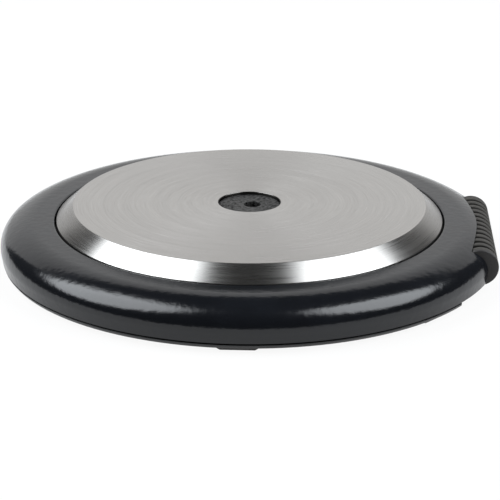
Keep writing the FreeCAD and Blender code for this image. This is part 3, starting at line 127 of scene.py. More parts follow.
class PlateLook(bpy.types.PropertyGroup):
    """The turned steel plate and the dark disc in its middle."""

    flat_radius: length("Flat radius", "Radius of the flat top", 82.6 * MM)
    bevel_drop: length("Bevel drop", "Height of the bevel", 6.8 * MM)
    hole_radius: length("Hole radius", "Radius of the hole in the middle", 14.6 * MM)
    skin: length("Skin", "Thickness of the steel", 2.0 * MM)
    edge: length("Edge rounding", "Rounding of the plate's edges", 0.55 * MM)
    disc_hole: length("Disc hole", "Radius of the hole in the dark disc", 3.95 * MM)
    disc_hole_x: length("Disc hole offset", "How far that hole sits to one side", 1.4 * MM)
    dimple_at: length("Dimple place", "Distance of the dimple from the middle", 11.3 * MM)
    dimple_angle: turn("Dimple direction", "Its direction from the middle, from +X", -14.0)
    dimple_radius: length("Dimple radius", "Radius of the dimple", 0.9 * MM)
    dimple_depth: length("Dimple depth", "Depth of the dimple", 0.5 * MM)
    disc_edge: length("Disc edge", "Rounding of the dark disc's edges", 0.35 * MM)
    disc_thick: length("Disc thickness", "Thickness of the dark disc's flange", 2.4 * MM)
    disc_hole_depth: length("Disc hole depth", "Depth of the hole in the dark disc", 3.8 * MM)
    spigot: length("Spigot", "Radius of the pin under the dark disc", 9.0 * MM)
    steel: colour("Steel", "Colour of the turned steel", (0.535, 0.522, 0.505))
    # Painted shade: the hole's wall and lip take this dark colour, as shade in the recess, which also
    # hides the wall's reflection of the lights.
    painted_hole_shade: colour("Hole edge", "Colour of the painted shade at the edge of the hole", (0.10, 0.095, 0.09))
    steel_roughness: amount("Steel roughness", "Roughness across the turning marks", 0.21)
    # Painted shade: the bevel's steel colour is multiplied by this share so that its reflection of the
    # softboxes is dimmer.
    painted_bevel_shade: amount("Bevel shade", "Brightness of the bevel beside the flat, dimmed as painted shade", 0.60)
    iron: colour("Disc", "Colour of the dark disc", (0.016, 0.0156, 0.0152))


class RingLook(bpy.types.PropertyGroup):
    """The glossy ring, the dish under it and the feet."""

    inner_radius: length("Inner radius", "Radius of the ring's inner edge", 91.3 * MM)
    lip: length("Lip rounding", "Rounding of the inner edge", 0.8 * MM)
    crown_start: length("Crown start", "Radius where the top starts to fall", 100.0 * MM)
    crown: length("Crown radius", "Large rounding of the top", 23.25 * MM)
    shoulder: length("Shoulder radius", "Small rounding of the shoulder", 9.86 * MM)
    foot_in: length("Foot draw-in", "How far the wall draws in at its foot", 0.8 * MM)
    foot_height: length("Foot height", "Foot of the wall above the floor", 4.8 * MM)
    wall: length("Wall", "Thickness of the ring", 2.2 * MM)
    grip_gap: length("Grip gap", "Gap between the grip and its channel", 0.5 * MM)
    gloss: colour("Ring", "Colour of the glossy ring", (0.0036, 0.0042, 0.0056))
    roughness: amount("Ring roughness", "Roughness of the glossy ring", 0.15)
    dish: colour("Dish", "Colour of the satin dish", (0.010, 0.010, 0.011))


class GripLook(bpy.types.PropertyGroup):
    """The ribbed grip with its end caps."""

    ribs: IntProperty(name="Ribs", description="Number of ribs", default=13, min=2)
    rib_width: length("Rib width", "Width of a rib", 3.0 * MM)
    rib_height: length("Rib height", "Height of a rib", 1.6 * MM)
    rib_edge: length("Rib edge", "Rounding of a rib's edges", 0.65 * MM)
    bore: length("Bore", "Radius of the sleeve's bore", 5.5 * MM)
    cap_edge: length("Cap edge", "Rounding of an end cap", 0.7 * MM)
    pin: length("Cap pin", "Radius of the pin behind an end cap", 3.0 * MM)
    rubber: colour("Rubber", "Colour of the ribbed rubber", (0.034, 0.031, 0.027))
    painted_groove_shade: colour("Grooves", "Colour at the bottom of the grooves", (0.004, 0.004, 0.004))
    # Painted shade: the bottoms of the grooves between the ribs take this near-black colour.
    cap: colour("Caps", "Colour of the end caps", (0.011, 0.0095, 0.009))


class StudioLook(bpy.types.PropertyGroup):
    """Camera, lights and floor."""

    azimuth: turn("Azimuth", "The camera's direction, from the front towards the grip", 2.5)
    elevation: turn("Elevation", "The camera's height as an angle", 20.18)
    roll: turn("Roll", "The camera's small tilt", 0.175)
    distance: length("Distance", "Camera to the middle of the plate", 0.939, 10.0)
    focal: FloatProperty(name="Focal length", description="In millimetres", default=144.0)
    drop: length("Drop", "How far the view's middle lies below the plate's", 22.73 * MM)
    aside: length("Aside", "How far the view's middle lies beside the plate's", 0.27 * MM)
    soft_glow: FloatProperty(name="Softboxes", description="Brightness in their middle", default=6.9)
    soft_rim: amount("Softbox rim", "Share of that brightness left at the rim", 0.2)
    soft_tint: colour("Softbox tint", "Colour of their light", (0.92, 0.96, 1.0))
    back_glow: FloatProperty(name="Back panel", description="Brightness of its face", default=0.72)
    ambient: amount("Ambient", "Strength of the room's own light", 0.05)
    floor: colour("Floor", "Colour of the floor", (0.30, 0.30, 0.30))
    floor_glow: amount("Floor glow", "Light that comes up through the floor", 0.53)
    floor_white: amount("Floor white", "How far the seen floor is washed out to white", 0.84)


# ------------------------------------------------------------------ surfaces
def rounded(corners, closed=True, steps=6):
    """An outline whose corners (a, b, rounding) become arcs.

    Each arc touches both straight sides of its corner. Its points go from one touching point to
    the other by equal angles: centre + (sin((1-t)w) p + sin(tw) q) / sin(w).
    """
    points = []
    count = len(corners)
    for i, (a, b, radius) in enumerate(corners):
        corner = np.array((a, b))
        if radius <= 0 or (not closed and i in (0, count - 1)):
            points.append(corner[None])
            continue
        back = np.array(corners[i - 1][:2]) - corner
        ahead = np.array(corners[(i + 1) % count][:2]) - corner
        back /= np.linalg.norm(back)
        ahead /= np.linalg.norm(ahead)
        half = math.acos(np.clip(back @ ahead, -1, 1)) / 2
        middle = (back + ahead) / np.linalg.norm(back + ahead)
        centre = corner + middle * radius / math.sin(half)
        first = corner + back * radius / math.tan(half) - centre
        last = corner + ahead * radius / math.tan(half) - centre
        sweep = math.pi - 2 * half
        t = np.linspace(0, 1, steps + 1)[:, None]
        arc = (np.sin((1 - t) * sweep) * first + np.sin(t * sweep) * last) / math.sin(sweep)
        points.append(centre + arc)
    return np.vstack(points)


def revolved(profile, steps=256, wave=None):
    """Points (r cos t, r sin t, h) of a profile (r, h) carried once round the Z axis.

    wave, if given, is how far each point moves inwards: one number for each turn and profile point.
    """
    angle = np.linspace(0, 2 * math.pi, steps, endpoint=False)[:, None]
    radius = np.broadcast_to(profile[:, 0], (steps, len(profile)))
    height = np.broadcast_to(profile[:, 1], (steps, len(profile)))
    if wave is not None:
        radius = radius - wave
    return np.stack([radius * np.cos(angle), radius * np.sin(angle), height], -1)


def along_y(points, x, z):
    """Points made round the Z axis, laid along Y with their axis at (x, z)."""
    return np.stack([points[..., 0] + x, points[..., 2], z - points[..., 1]], -1)


def piece(name, points, wrap_rows=True, wrap_columns=True):
    """A closed object from a grid of points: each four neighbours are one face.

    Points that meet at a pole are merged, and the faces are turned outwards.
    """
    rows, columns = points.shape[:2]
    index = np.arange(rows * columns).reshape(rows, columns)
    if wrap_rows:
        index = np.vstack([index, index[:1]])
    if wrap_columns:
        index = np.hstack([index, index[:, :1]])
    faces = np.stack([index[:-1, :-1], index[1:, :-1], index[1:, 1:], index[:-1, 1:]], -1)
    mesh = bpy.data.meshes.new(name)
    mesh.from_pydata(points.reshape(-1, 3).tolist(), [], faces.reshape(-1, 4).tolist())
    obj = bpy.data.objects.new(name, mesh)
    bpy.context.scene.collection.objects.link(obj)
    tidy(mesh)
    return obj


def tidy(mesh):
    """Merges doubles, turns the faces outwards and shades all but the sharp edges smooth."""
    work = bmesh.new()
    work.from_mesh(mesh)
    bmesh.ops.remove_doubles(work, verts=work.verts, dist=1e-7)
    bmesh.ops.dissolve_degenerate(work, edges=work.edges, dist=1e-7)
    bmesh.ops.recalc_face_normals(work, faces=work.faces)
    work.to_mesh(mesh)
    work.free()
    mesh.shade_smooth()
    mesh.set_sharp_from_angle(angle=SHARP)


def applied(obj):
    """Turns the object's modifiers into its mesh."""
    bpy.context.view_layer.update()
    shaped = obj.evaluated_get(bpy.context.evaluated_depsgraph_get())
    mesh = bpy.data.meshes.new_from_object(shaped)
    obj.modifiers.clear()
    obj.data = mesh
    tidy(mesh)
    return obj


def cut_away(obj, cutters):
    """Takes each cutter out of the object and removes the cutter."""
    for cutter in cutters:
        change = obj.modifiers.new("cut", "BOOLEAN")
        change.operation = "DIFFERENCE"
        change.solver = "EXACT"
        change.object = cutter
    applied(obj)
    for cutter in cutters:
        bpy.data.objects.remove(cutter)


def softened(node, width):
    """A merged copy of a carried node with rounded edges, which stands for it."""
    mesh = NODES[node].data.copy()
    mesh.name = node + "_soft"
    obj = bpy.data.objects.new(mesh.name, mesh)
    bpy.context.scene.collection.objects.link(obj)
    work = bmesh.new()
    work.from_mesh(mesh)
    bmesh.ops.remove_doubles(work, verts=work.verts, dist=2e-6)
    bmesh.ops.dissolve_limit(
        work, angle_limit=math.radians(0.6), verts=work.verts, edges=work.edges
    )
    bmesh.ops.recalc_face_normals(work, faces=work.faces)
    work.to_mesh(mesh)
    work.free()
    mesh.shade_smooth()
    mesh.set_sharp_from_angle(angle=SHARP)
    change = obj.modifiers.new("soft_edges", "BEVEL")
    change.width = width
    change.segments = 2
    change.limit_method = "ANGLE"
    change.angle_limit = math.radians(35)
    change.use_clamp_overlap = True
    change.harden_normals = False
    return applied(obj)


def settle(obj, body, slot, node):
    """Gives a piece its finish, its body and its record slot, and hides what it stands for."""
    obj.data.materials.clear()
    obj.data.materials.append(finish_for(bpy.context.scene, slot))
    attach(obj, body)
    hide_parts(node)


# ------------------------------------------------------------------ finishes
class Nodes:
    """Short names for adding and joining the nodes of one tree."""

    def __init__(self, tree):
        self.tree = tree

    def add(self, kind, **values):
        node = self.tree.nodes.new(kind)
        for key, value in values.items():
            setattr(node, key, value)
        return node

    def link(self, source, target):
        self.tree.links.new(source, target)

    def feed(self, socket, value):
        """Sets a socket to a number, or joins it to another node's output."""
        if isinstance(value, bpy.types.NodeSocket):
            self.link(value, socket)
        else:
            socket.default_value = value

    def math(self, operation, first, second=0.0):
        node = self.add("ShaderNodeMath", operation=operation)
        self.feed(node.inputs[0], first)
        self.feed(node.inputs[1], second)
        return node.outputs[0]

    def spread(self, value, low, high, to_low=0.0, to_high=1.0):
        """Maps low to high onto to_low to to_high and stops at both ends."""
        node = self.add("ShaderNodeMapRange")
        self.feed(node.inputs["Value"], value)
        self.feed(node.inputs["From Min"], low)
        self.feed(node.inputs["From Max"], high)
        self.feed(node.inputs["To Min"], to_low)
        self.feed(node.inputs["To Max"], to_high)
        return node.outputs["Result"]

    def noise(self, place, scale, detail=2.0, roughness=0.5):
        node = self.add("ShaderNodeTexNoise")
        self.link(place, node.inputs["Vector"])
        self.feed(node.inputs["Scale"], scale)
        node.inputs["Detail"].default_value = detail
        node.inputs["Roughness"].default_value = roughness
        return node.outputs["Fac"]

    def mix(self, share, first, second, blend="MIX"):
        """Colour from first to second by share."""
        node = self.add("ShaderNodeMix", data_type="RGBA", blend_type=blend)
        self.feed(node.inputs["Factor"], share)
        for name, value in (("A", first), ("B", second)):
            socket = [s for s in node.inputs if s.name == name and s.type == "RGBA"][0]
            self.feed(socket, value)
        return [s for s in node.outputs if s.type == "RGBA"][0]


def new_group(name, inputs, outputs):
    """An effect with named inputs (name, default) and outputs (name)."""
    tree = bpy.data.node_groups.new(name, "ShaderNodeTree")
    for label, value in inputs:
        socket = tree.interface.new_socket(label, in_out="INPUT", socket_type="NodeSocketFloat")
        socket.default_value = value
    for label in outputs:
        tree.interface.new_socket(label, in_out="OUTPUT", socket_type="NodeSocketFloat")
    build = Nodes(tree)
    return build, build.add("NodeGroupInput").outputs, build.add("NodeGroupOutput").inputs


def object_place(build):
    return build.add("ShaderNodeTexCoord").outputs["Object"]


def turning_marks():
    """Fine circles round Z that fade and return along each circle.

    The noise is read at (radius x fineness, direction x run), so it changes fast outwards and
    slowly round the piece.
    """
    build, given, out = new_group(
        "Turning marks", [("Fineness", 9000.0), ("Run", 2.5)], ["Height", "Streak"]
    )
    place = build.add("ShaderNodeSeparateXYZ")
    build.link(object_place(build), place.inputs[0])
    across, along = place.outputs[0], place.outputs[1]
    across_square = build.math("MULTIPLY", across, across)
    squares = build.math("ADD", across_square, build.math("MULTIPLY", along, along))
    radius = build.math("SQRT", squares)
    reach = build.math("ADD", radius, 1e-5)
    spot = build.add("ShaderNodeCombineXYZ")
    build.link(build.math("MULTIPLY", radius, given["Fineness"]), spot.inputs[0])
    build.link(build.math("MULTIPLY", build.math("DIVIDE", across, reach), given["Run"]), spot.inputs[1])
    build.link(build.math("MULTIPLY", build.math("DIVIDE", along, reach), given["Run"]), spot.inputs[2])
    fine = build.noise(spot.outputs[0], 1.0, 3.0, 0.65)
    broad = build.noise(spot.outputs[0], 0.12, 2.0, 0.5)
    build.link(fine, out["Height"])
    blend = build.math("ADD", build.math("MULTIPLY", fine, 0.75), build.math("MULTIPLY", broad, 0.25))
    build.link(blend, out["Streak"])
    return build.tree


def moulded_grain():
    """Fine pebbled texture of moulded plastic or rubber, with a soft mottle over it."""
    build, given, out = new_group("Moulded grain", [("Scale", 2500.0)], ["Height", "Mottle"])
    place = object_place(build)
    build.link(build.noise(place, given["Scale"], 2.0, 0.6), out["Height"])
    build.link(build.noise(place, build.math("MULTIPLY", given["Scale"], 0.06), 4.0, 0.6), out["Mottle"])
    return build.tree


def handling_marks():
    """Faint smudges: a mask from clean (0) to dull (1) in soft patches."""
    build, given, out = new_group("Handling marks", [("Scale", 18.0)], ["Mask"])
    place = object_place(build)
    patches = build.noise(place, given["Scale"], 5.0, 0.62)
    build.link(build.spread(patches, 0.48, 0.72), out["Mask"])
    return build.tree


def surface_ripple():
    """The slight waviness of a sprayed or moulded gloss surface."""
    build, given, out = new_group("Surface ripple", [("Scale", 260.0)], ["Height"])
    place = object_place(build)
    fine = build.noise(place, given["Scale"], 1.0, 0.4)
    broad = build.noise(place, build.math("MULTIPLY", given["Scale"], 0.22), 1.0, 0.4)
    build.link(build.math("ADD", build.math("MULTIPLY", fine, 0.35), broad), out["Height"])
    return build.tree


EFFECTS = {
    "turning": turning_marks,
    "grain": moulded_grain,
    "marks": handling_marks,
    "ripple": surface_ripple,
}


def effect(build, name, **values):
    """Places one of the shared effects in a material, with its own values."""
    label = "effect_" + name
    if label not in bpy.data.node_groups:
        EFFECTS[name]().name = label
    node = build.add("ShaderNodeGroup", node_tree=bpy.data.node_groups[label])
    for key, value in values.items():
        node.inputs[key].default_value = value
    return node.outputs


def new_material(name, **constants):
    """A material with one Principled shader; underscores in a name stand for spaces."""
    material = bpy.data.materials.new(name)
    material.use_nodes = True
    tree = material.node_tree
    shader = tree.nodes["Principled BSDF"]
    for key, value in constants.items():
        shader.inputs[key.replace("_", " ")].default_value = value
    return material, Nodes(tree), shader.inputs


def bump(build, shader, height, depth):
    """Raises the surface by up to depth where height is 1."""
    node = build.add("ShaderNodeBump")
    node.inputs["Strength"].default_value = 1.0
    node.inputs["Distance"].default_value = depth
    build.link(height, node.inputs["Height"])
    build.link(node.outputs["Normal"], shader["Normal"])


def full(rgb, gain=1.0):
    return tuple(min(1.0, c * gain) for c in rgb) + (1.0,)


def between(build, socket, share, low, high):
    """Feeds a number that goes from low to high with a share of 0 to 1."""
    build.link(build.spread(share, 0.0, 1.0, low, high), socket)


def turned_steel(look):
    """Steel turned on a lathe: fine circles, duller across them than along them, with painted shade on
    the hole's wall and lip and a painted dimming of the bevel's reflection.
    """
    material, build, shader = new_material(
        "Turned steel", Metallic=1.0, Anisotropic=0.75, Anisotropic_Rotation=0.25
    )
    marks = effect(build, "turning", Fineness=3600.0, Run=3.0)
    streak = build.spread(marks["Streak"], 0.3, 0.7)
    bright = build.mix(streak, full(look.steel, 0.84), full(look.steel, 1.14))
    place = build.add("ShaderNodeMapping")
    build.link(object_place(build), place.inputs["Vector"])
    place.inputs["Scale"].default_value = (1, 1, 0)
    reach = build.add("ShaderNodeVectorMath", operation="LENGTH")
    build.link(place.outputs[0], reach.inputs[0])
    # Painted shade: from the hole's edge to 0.35 mm past it, the steel takes the dark hole-shade colour.
    clear_of_hole = build.spread(
        reach.outputs["Value"], look.hole_radius + 0.1 * MM, look.hole_radius + 0.35 * MM
    )
    rim = look.flat_radius
    # Painted shade: past the flat's rim the steel colour is dimmed by the bevel-shade share.
    on_bevel = build.spread(reach.outputs["Value"], rim - 0.2 * MM, rim + 0.2 * MM)
    shade = (look.painted_bevel_shade,) * 3 + (1.0,)
    shaded = build.mix(on_bevel, (1.0, 1.0, 1.0, 1.0), shade)
    bright = build.mix(1.0, bright, shaded, "MULTIPLY")
    build.link(build.mix(clear_of_hole, full(look.painted_hole_shade), bright), shader["Base Color"])
    dull = effect(build, "marks", Scale=16.0)["Mask"]
    rough = build.spread(streak, 0.0, 1.0, look.steel_roughness - 0.05, look.steel_roughness + 0.07)
    rough = build.math("ADD", rough, build.math("MULTIPLY", dull, 0.03))
    rough = build.math("ADD", rough, build.math("MULTIPLY", on_bevel, 0.06))
    build.link(rough, shader["Roughness"])
    bump(build, shader, marks["Height"], 0.000004)
    return material


def dark_disc(look):
    """Dark oxidised iron with a coarse mottle."""
    material, build, shader = new_material("Dark disc")
    grain = effect(build, "grain", Scale=850.0)
    pebbles = build.spread(grain["Height"], 0.36, 0.64)
    build.link(build.mix(pebbles, full(look.iron, 0.2), full(look.iron, 2.2)), shader["Base Color"])
    between(build, shader["Specular IOR Level"], pebbles, 0.05, 0.34)
    build.link(build.spread(grain["Mottle"], 0.3, 0.7, 0.36, 0.6), shader["Roughness"])
    bump(build, shader, grain["Height"], 0.00022)
    return material


def gloss_black(look):
    """Deep black gloss with a slight waviness and a few dull patches."""
    material, build, shader = new_material("Gloss black", IOR=1.45)
    dull = effect(build, "marks", Scale=22.0)["Mask"]
    build.link(build.mix(dull, full(look.gloss), full(look.gloss, 1.5)), shader["Base Color"])
    between(build, shader["Roughness"], dull, look.roughness, look.roughness + 0.03)
    ripple = effect(build, "ripple", Scale=1500.0)["Height"]
    bump(build, shader, ripple, 0.00009)
    return material


def moulded(name, base, roughness=0.5, scale=2500.0, depth=0.00002, contrast=0.25):
    """Plain moulded plastic or rubber with a fine grain and a soft mottle."""
    material, build, shader = new_material(name)
    grain = effect(build, "grain", Scale=scale)
    share = build.spread(grain["Mottle"], 0.3, 0.7)
    tone = build.mix(share, full(base, 1 - contrast), full(base, 1 + contrast))
    build.link(tone, shader["Base Color"])
    between(build, shader["Roughness"], share, roughness - 0.06, roughness + 0.06)
    bump(build, shader, grain["Height"], depth)
    return material


def metal(name, base, roughness=0.3, scale=900.0):
    """Plain metal with faint marks from rolling, plating or casting."""
    material, build, shader = new_material(name, Metallic=1.0)
    grain = effect(build, "grain", Scale=scale)
    share = build.spread(grain["Mottle"], 0.3, 0.7)
    build.link(build.mix(share, full(base, 0.85), full(base, 1.1)), shader["Base Color"])
    between(build, shader["Roughness"], share, roughness - 0.06, roughness + 0.08)
    bump(build, shader, grain["Height"], 0.000008)
    return material


def ribbed_rubber(look):
    """Warm grey rubber, matte, with a dusty grain, and painted shade at the bottom of the grooves."""
    material, build, shader = new_material("Ribbed rubber", Specular_IOR_Level=0.35)
    grain = effect(build, "grain", Scale=1800.0)
    dust = build.spread(grain["Mottle"], 0.35, 0.7)
    top = build.mix(dust, full(look.rubber, 0.8), full(look.rubber, 1.25))
    place = build.add("ShaderNodeMapping")
    build.link(object_place(build), place.inputs["Vector"])
    place.inputs["Location"].default_value = (-GRIP_X, 0, -GRIP_Z)
    place.inputs["Scale"].default_value = (1, 0, 1)
    reach = build.add("ShaderNodeVectorMath", operation="LENGTH")
    build.link(place.outputs[0], reach.inputs[0])
    floor = GRIP_R - look.rib_height
    risen = build.spread(reach.outputs["Value"], floor + 0.1 * MM, GRIP_R - 0.25 * MM)
    # Painted shade: the groove bottoms take the groove-shade colour, and the ribs take the rubber
    # colour.
    build.link(build.mix(risen, full(look.painted_groove_shade), top), shader["Base Color"])
    between(build, shader["Roughness"], dust, 0.55, 0.72)
    bump(build, shader, grain["Height"], 0.00004)
    return material


def clear(name, base, roughness=0.04):
    """Clear or tinted glass."""
    material, build, shader = new_material(name, Transmission_Weight=1.0, IOR=1.49)
    smudge = effect(build, "marks", Scale=90.0)["Mask"]
    build.link(build.mix(smudge, full(base), full(base, 0.92)), shader["Base Color"])
    between(build, shader["Roughness"], smudge, roughness, roughness + 0.05)
    return material


def lit_floor(look):
    """A pale matte floor that glows a little, as a lit table does."""
    material, build, shader = new_material("Pale floor", Roughness=0.7)
    patches = effect(build, "marks", Scale=3.0)["Mask"]
    build.link(build.mix(patches, full(look.floor), full(look.floor, 0.98)), shader["Base Color"])
    shader["Emission Color"].default_value = (1.0, 1.0, 1.0, 1.0)
    shader["Emission Strength"].default_value = look.floor_glow
    white = build.add("ShaderNodeEmission")
    seen = build.add("ShaderNodeLightPath").outputs["Is Camera Ray"]
    pick = build.add("ShaderNodeMixShader")
    build.link(build.math("MULTIPLY", seen, look.floor_white), pick.inputs[0])
    build.link(material.node_tree.nodes["Principled BSDF"].outputs[0], pick.inputs[1])
    build.link(white.outputs[0], pick.inputs[2])
    build.link(pick.outputs[0], material.node_tree.nodes["Material Output"].inputs["Surface"])
    return material


def finishes(scene):
    """What makes each finish, by the name of its record slot."""
    plate, ring, grip = scene.hot_plate_plate, scene.hot_plate_ring, scene.hot_plate_grip
    return {
        "plate_steel": lambda: turned_steel(plate),
        "disc_iron": lambda: dark_disc(plate),
        "ring_black": lambda: gloss_black(ring),
        "base_black": lambda: moulded("Satin black dish", ring.dish, 0.42, 2200.0),
        "foot_rubber": lambda: moulded("Foot rubber", (0.012, 0.012, 0.012), 0.66, 1800.0, 0.00003),
        "grip_rubber": lambda: ribbed_rubber(grip),
        "cap_black": lambda: moulded("Cap black", grip.cap, 0.56, 1300.0, 0.00006, 0.6),
        "core_nylon": lambda: moulded("Nylon", (0.05, 0.05, 0.05), 0.45, 2000.0),
        "rod_steel": lambda: metal("Ground rod", (0.70, 0.70, 0.71), 0.14, 1500.0),
        "screw_steel": lambda: metal("Zinc plate", (0.55, 0.55, 0.54), 0.30),
        "casting_metal": lambda: metal("Cast aluminium", (0.45, 0.45, 0.45), 0.5, 500.0),
        "element_sheath": lambda: metal("Oxidised sheath", (0.16, 0.15, 0.14), 0.5),
        "ceramic": lambda: moulded("Ceramic", (0.72, 0.70, 0.65), 0.55, 1500.0),
        "fibre": lambda: moulded("Ceramic fibre", (0.62, 0.60, 0.55), 0.9, 600.0, 0.0001),
        "sheet_steel": lambda: metal("Aluminised sheet", (0.52, 0.53, 0.54), 0.34, 700.0),
        "gasket_black": lambda: moulded("Gasket", (0.008, 0.008, 0.008), 0.6, 1600.0),
        "wheel_black": lambda: moulded("Wheel black", (0.022, 0.022, 0.022), 0.48, 2400.0),
        "block_brown": lambda: moulded("Phenolic", (0.10, 0.045, 0.022), 0.4, 1800.0),
        "brass": lambda: metal("Brass", (0.68, 0.50, 0.22), 0.25),
        "spring_bronze": lambda: metal("Spring bronze", (0.55, 0.38, 0.22), 0.3),
        "inlet_black": lambda: moulded("Inlet black", (0.016, 0.016, 0.016), 0.44, 2400.0),
        "lens_amber": lambda: clear("Amber lens", (0.90, 0.32, 0.05)),
        "lamp_glass": lambda: clear("Lamp glass", (0.93, 0.90, 0.86)),
        "wire_brown": lambda: moulded("Brown sleeve", (0.10, 0.045, 0.02), 0.5, 2000.0),
        "wire_blue": lambda: moulded("Blue sleeve", (0.03, 0.08, 0.30), 0.5, 2000.0),
        "wire_green": lambda: moulded("Green sleeve", (0.06, 0.25, 0.05), 0.5, 2000.0),
    }


def finish_for(scene, slot):
    """The material of a record slot."""
    label = "slot_" + slot
    if label not in bpy.data.materials:
        finishes(scene)[slot]().name = label
    return bpy.data.materials[label]


# ------------------------------------------------------------------ shapes of the pieces
def plate_profile(look):
    """Section of the steel plate: flat, bevel, short skirt, and the same inside its skin."""
    top = PLATE_HIGH.z
    out = PLATE_HIGH.x
    shoulder = top - look.bevel_drop
    low = top - look.skin
    inside = out - look.skin
    drop = look.skin * 0.45
    return rounded(
        [
            (look.hole_radius, top, look.edge * 0.7),
            (look.flat_radius, top, look.edge),
            (out, shoulder, look.edge),
            (out, PLATE_LOW.z, look.edge * 0.4),
            (inside, PLATE_LOW.z, look.edge * 0.4),
            (inside, shoulder - drop, look.edge * 0.4),
            (look.flat_radius - drop, low, look.edge * 0.4),
            (look.hole_radius, low, look.edge * 0.4),
        ]
    )


def disc_points(look, steps=192, rings=44):
    """The dark disc: its hole sits to one side, so each ring lies between hole and rim.

    Ring i of the face is hole + (rim - hole) * i / rings, and the dimple lowers the face by
    depth * (1 - (d / radius)^2) inside its own circle.
    """
    angle = np.linspace(0, 2 * math.pi, steps, endpoint=False)
    way = np.stack([np.cos(angle), np.sin(angle)], -1)
    hole = way * look.disc_hole + np.array((look.disc_hole_x, 0))
    rim = way * DISC_HIGH.x
    top = DISC_HIGH.z
    edge = look.disc_edge
    floor = top - look.disc_hole_depth
    foot = top - look.disc_thick
    share = np.linspace(0, 1, rings + 1)[:, None, None]
    start = hole + way * edge
    face = start + (rim - way * edge - start) * share
    dimple = look.dimple_at * np.array((math.cos(look.dimple_angle), math.sin(look.dimple_angle)))
    spot = face - dimple
    inside = 1 - (spot ** 2).sum(-1) / look.dimple_radius ** 2
    height = top - look.dimple_depth * np.clip(inside, 0, 1)
    bend = np.linspace(0, math.pi / 2, 5)[1:]

    def level(ring, z):
        return np.dstack([ring[None], np.full((1, steps), z)])

    layers = [level(way * 0 + np.array((look.disc_hole_x, 0)), floor), level(hole, floor)]
    for t in bend[::-1]:
        layers.append(level(hole + way * edge * (1 - math.sin(t)), top - edge * (1 - math.cos(t))))
    layers.append(np.dstack([face, height]))
    for t in bend:
        layers.append(level(rim - way * edge * (1 - math.sin(t)), top - edge * (1 - math.cos(t))))
    layers += [level(rim, foot), level(way * look.spigot, foot)]
    layers += [level(way * look.spigot, DISC_LOW.z), level(way * 0, DISC_LOW.z)]
    return np.vstack(layers)


def ring_skin(look, inset, samples=240):
    """Outer or inner skin of the ring's section, from its inner edge down to the foot of its wall.

    A flat, a large arc and a small arc that touches it, then a wall that draws in a little.
    inset moves the whole curve inwards. Returns radius and height.
    """
    top = RING_HIGH.z
    crown = look.crown
    shoulder = look.shoulder
    crown_mid = np.array((look.crown_start, top - crown))
    reach = crown - shoulder
    across = RING_R - shoulder - look.crown_start
    shoulder_mid = crown_mid + np.array((across, math.sqrt(reach ** 2 - across ** 2)))
    meet = math.atan2(shoulder_mid[1] - crown_mid[1], shoulder_mid[0] - crown_mid[0])
    lip_in = look.inner_radius + inset
    lip = max(look.lip - inset, 0.05 * MM)
    level = top - inset
    arc = np.linspace(0, 1, samples)[:, None]

    def swept(middle, radius, start, end):
        angle = start + (end - start) * arc
        return middle + radius * np.hstack([np.cos(angle), np.sin(angle)])

    foot = np.array((RING_R - look.foot_in - inset, look.foot_height))
    parts = [
        np.array([(lip_in, PLATE_LOW.z + 0.2 * MM)]),
        swept(np.array((lip_in + lip, level - lip)), lip, math.pi, math.pi / 2),
        swept(crown_mid, crown - inset, math.pi / 2, meet),
        swept(shoulder_mid, shoulder - inset, meet, 0),
        foot[None],
    ]
    return np.vstack(parts)


def at_shares(line, shares):
    """Points of a polyline at the given shares of its length."""
    step = np.linalg.norm(np.diff(line, axis=0), axis=1)
    run = np.concatenate([[0], np.cumsum(step)])
    at = shares * run[-1]
    return np.stack([np.interp(at, run, line[:, k]) for k in range(line.shape[1])], -1)


def ring_lines(look, inset, side_lines=300, bay_lines=72, upper=54, lower=30):
    """Lines of one skin of the ring, each from its inner edge to its foot.

    Outside the grip's bay a line lies in a plane through the ring's axis, except near the bay,
    where the lines fan so that the last one lies in the bay's end plane. In the bay a line has a
    constant y; it follows the ring down to the grip's channel and then the channel's round wall.
    Both kinds have the same number of points, and the same one of them lies on the bay's edge.
    """
    skin = ring_skin(look, inset)
    half = look.grip_gap + inset - CAP_LOW.y
    channel = GRIP_R + look.grip_gap + inset
    low = look.foot_height

    def in_bay(y):
        x = np.sqrt(skin[:, 0] ** 2 - y ** 2)
        z = skin[:, 1]
        above = np.abs(z - GRIP_Z) < channel
        depth = np.sqrt(np.clip(channel ** 2 - (z - GRIP_Z) ** 2, 0, None))
        hit = np.argmax(above & (x > GRIP_X - depth) & (z < GRIP_Z + channel))
        before = np.stack([x, z], -1)[: hit + 1]
        start = before[-1]
        spare = max(0.0, start[0] - GRIP_X)
        first = math.pi / 2 if spare > 0 else math.acos(np.clip((GRIP_X - start[0]) / channel, -1, 1))
        last = math.asin((low - GRIP_Z) / channel)
        angle = np.linspace(first, last, 120)
        wall = np.stack([GRIP_X - channel * np.cos(angle), GRIP_Z + channel * np.sin(angle)], -1)
        after = np.vstack([start[None], wall])
        return before, after, hit

    def packed(first, second):
        above = at_shares(first, np.linspace(0, 1, upper))
        return np.vstack([above[:-1], at_shares(second, np.linspace(0, 1, lower))])

    _, _, hit = in_bay(half)
    profile = packed(skin[: hit + 1], skin[hit:])
    edge = np.arcsin(half / profile[:, 0])
    share = np.linspace(0, 1, side_lines)[:, None]
    angle = edge + share * (2 * math.pi - 2 * edge)
    sides = np.stack(
        [
            profile[:, 0] * np.cos(angle),
            profile[:, 0] * np.sin(angle),
            np.broadcast_to(profile[:, 1], angle.shape),
        ],
        -1,
    )
    bay = []
    for y in np.linspace(-half, half, bay_lines):
        before, after, _ = in_bay(y)
        line = packed(before, after)
        bay.append(np.column_stack([line[:, 0], np.full(len(line), y), line[:, 1]]))
    return np.concatenate([sides, np.array(bay)])


